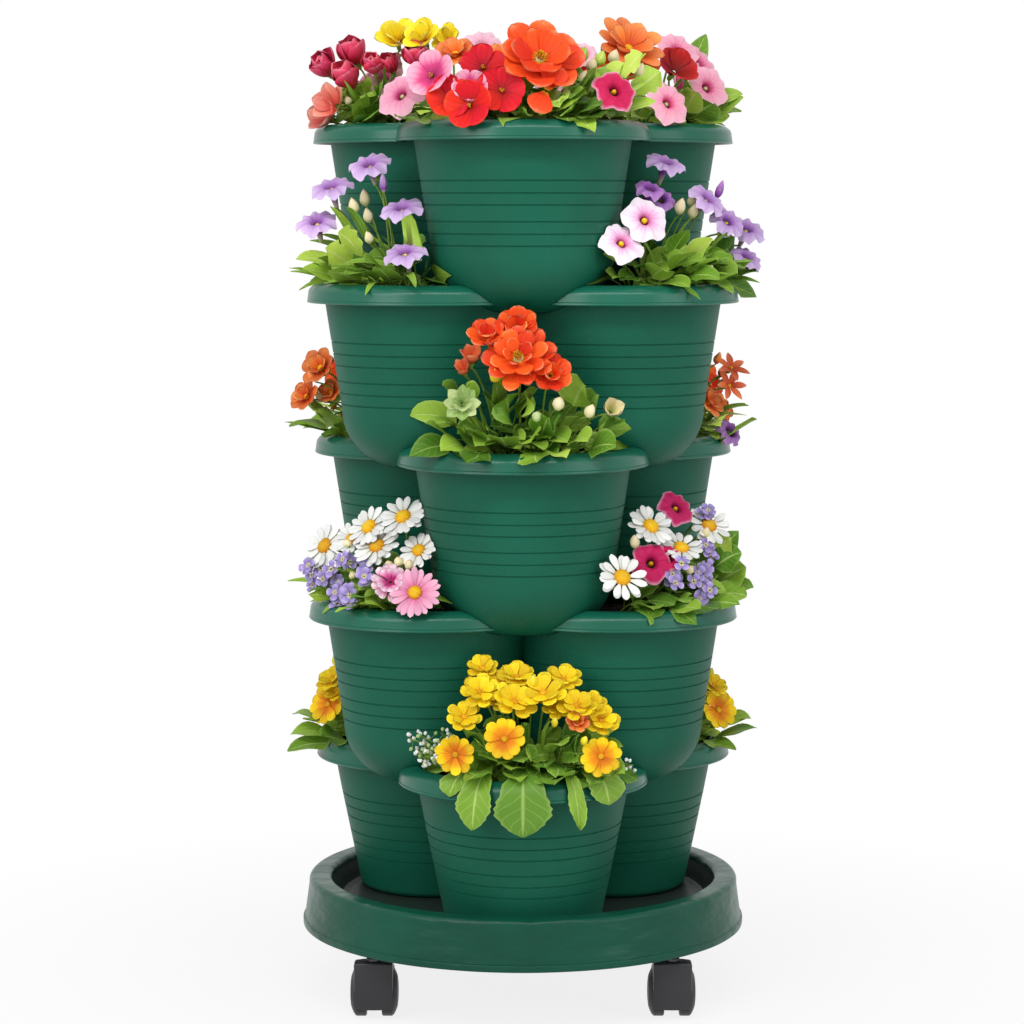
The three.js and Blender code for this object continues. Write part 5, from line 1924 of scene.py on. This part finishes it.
def paleFloor():
    # A sweep of matt paper. The camera sees it as white, but for the shadow near the tower.
    paper = linear(studio["floorColour"])
    material, tree, shader = startMaterial("mattPaper", Roughness=1, Base_Color=paper)
    white = addNode(tree, "Emission", {"Color": linear("ffffff"), "Strength": 1})
    place = addNode(tree, "TexCoord").outputs["Object"]
    away = addNode(tree, "VectorMath", {0: place}, operation="LENGTH").outputs["Value"]
    near, far = studio["floorFade"]
    fade = {"Value": away, "From Min": near, "From Max": far, "To Min": 0.84, "To Max": 1}
    whiteness = addNode(tree, "MapRange", fade)
    seen = addNode(tree, "Math", {0: seenDirectly(tree), 1: whiteness}, operation="MULTIPLY")
    mix = addNode(tree, "MixShader", {0: seen, 1: shader, 2: white})
    feed(tree, tree.nodes["Material Output"], {"Surface": mix})
    return material


half = studio["floorSize"] / 2
corners = [(-half, -half, 0), (half, -half, 0), (half, half, 0), (-half, half, 0)]
floorMesh = bpy.data.meshes.new("floor")
floorMesh.from_pydata(corners, [], [(0, 1, 2, 3)])
floor = addPiece("floor", floorMesh, [paleFloor()])

world = bpy.data.worlds.new("studio")
bpy.context.scene.world = world
world.use_nodes = True
sky = world.node_tree
reach = {"Value": seenDirectly(sky), "To Min": studio["worldStrength"], "To Max": 1}
strength = addNode(sky, "MapRange", reach)
feed(sky, sky.nodes["Background"], {"Strength": strength, "Color": linear("ffffff")})


def addLight(name, place, size, power):
    light = bpy.data.lights.new(name, "AREA")
    light.shape = "RECTANGLE"
    light.size, light.size_y = size
    light.energy = power
    lamp = bpy.data.objects.new(name, light)
    bpy.context.scene.collection.objects.link(lamp)
    lamp.location = place
    away = Vector(place) - Vector(studio["target"])
    lamp.rotation_euler = away.to_track_quat("Z", "Y").to_euler()


addLight("keyLight", (-1.9, -2.2, 1.9), (1.6, 1.8), studio["keyPower"])
addLight("fillLight", (2.2, -1.6, 1.3), (1.4, 1.8), studio["fillPower"])
addLight("stripLight", (0, -1.7, 2.3), (2.4, 0.3), studio["stripPower"])

cameraData = bpy.data.cameras.new("camera")
cameraData.lens = view["lens"]
cameraData.shift_x = view["shiftX"]
camera = bpy.data.objects.new("camera", cameraData)
bpy.context.scene.collection.objects.link(camera)
camera.location = view["place"]
camera.rotation_euler = (math.radians(90 - view["tiltDown"]), 0, 0)
bpy.context.scene.camera = camera
bpy.context.scene.view_settings.view_transform = "Standard"
print("floor, light and camera made")
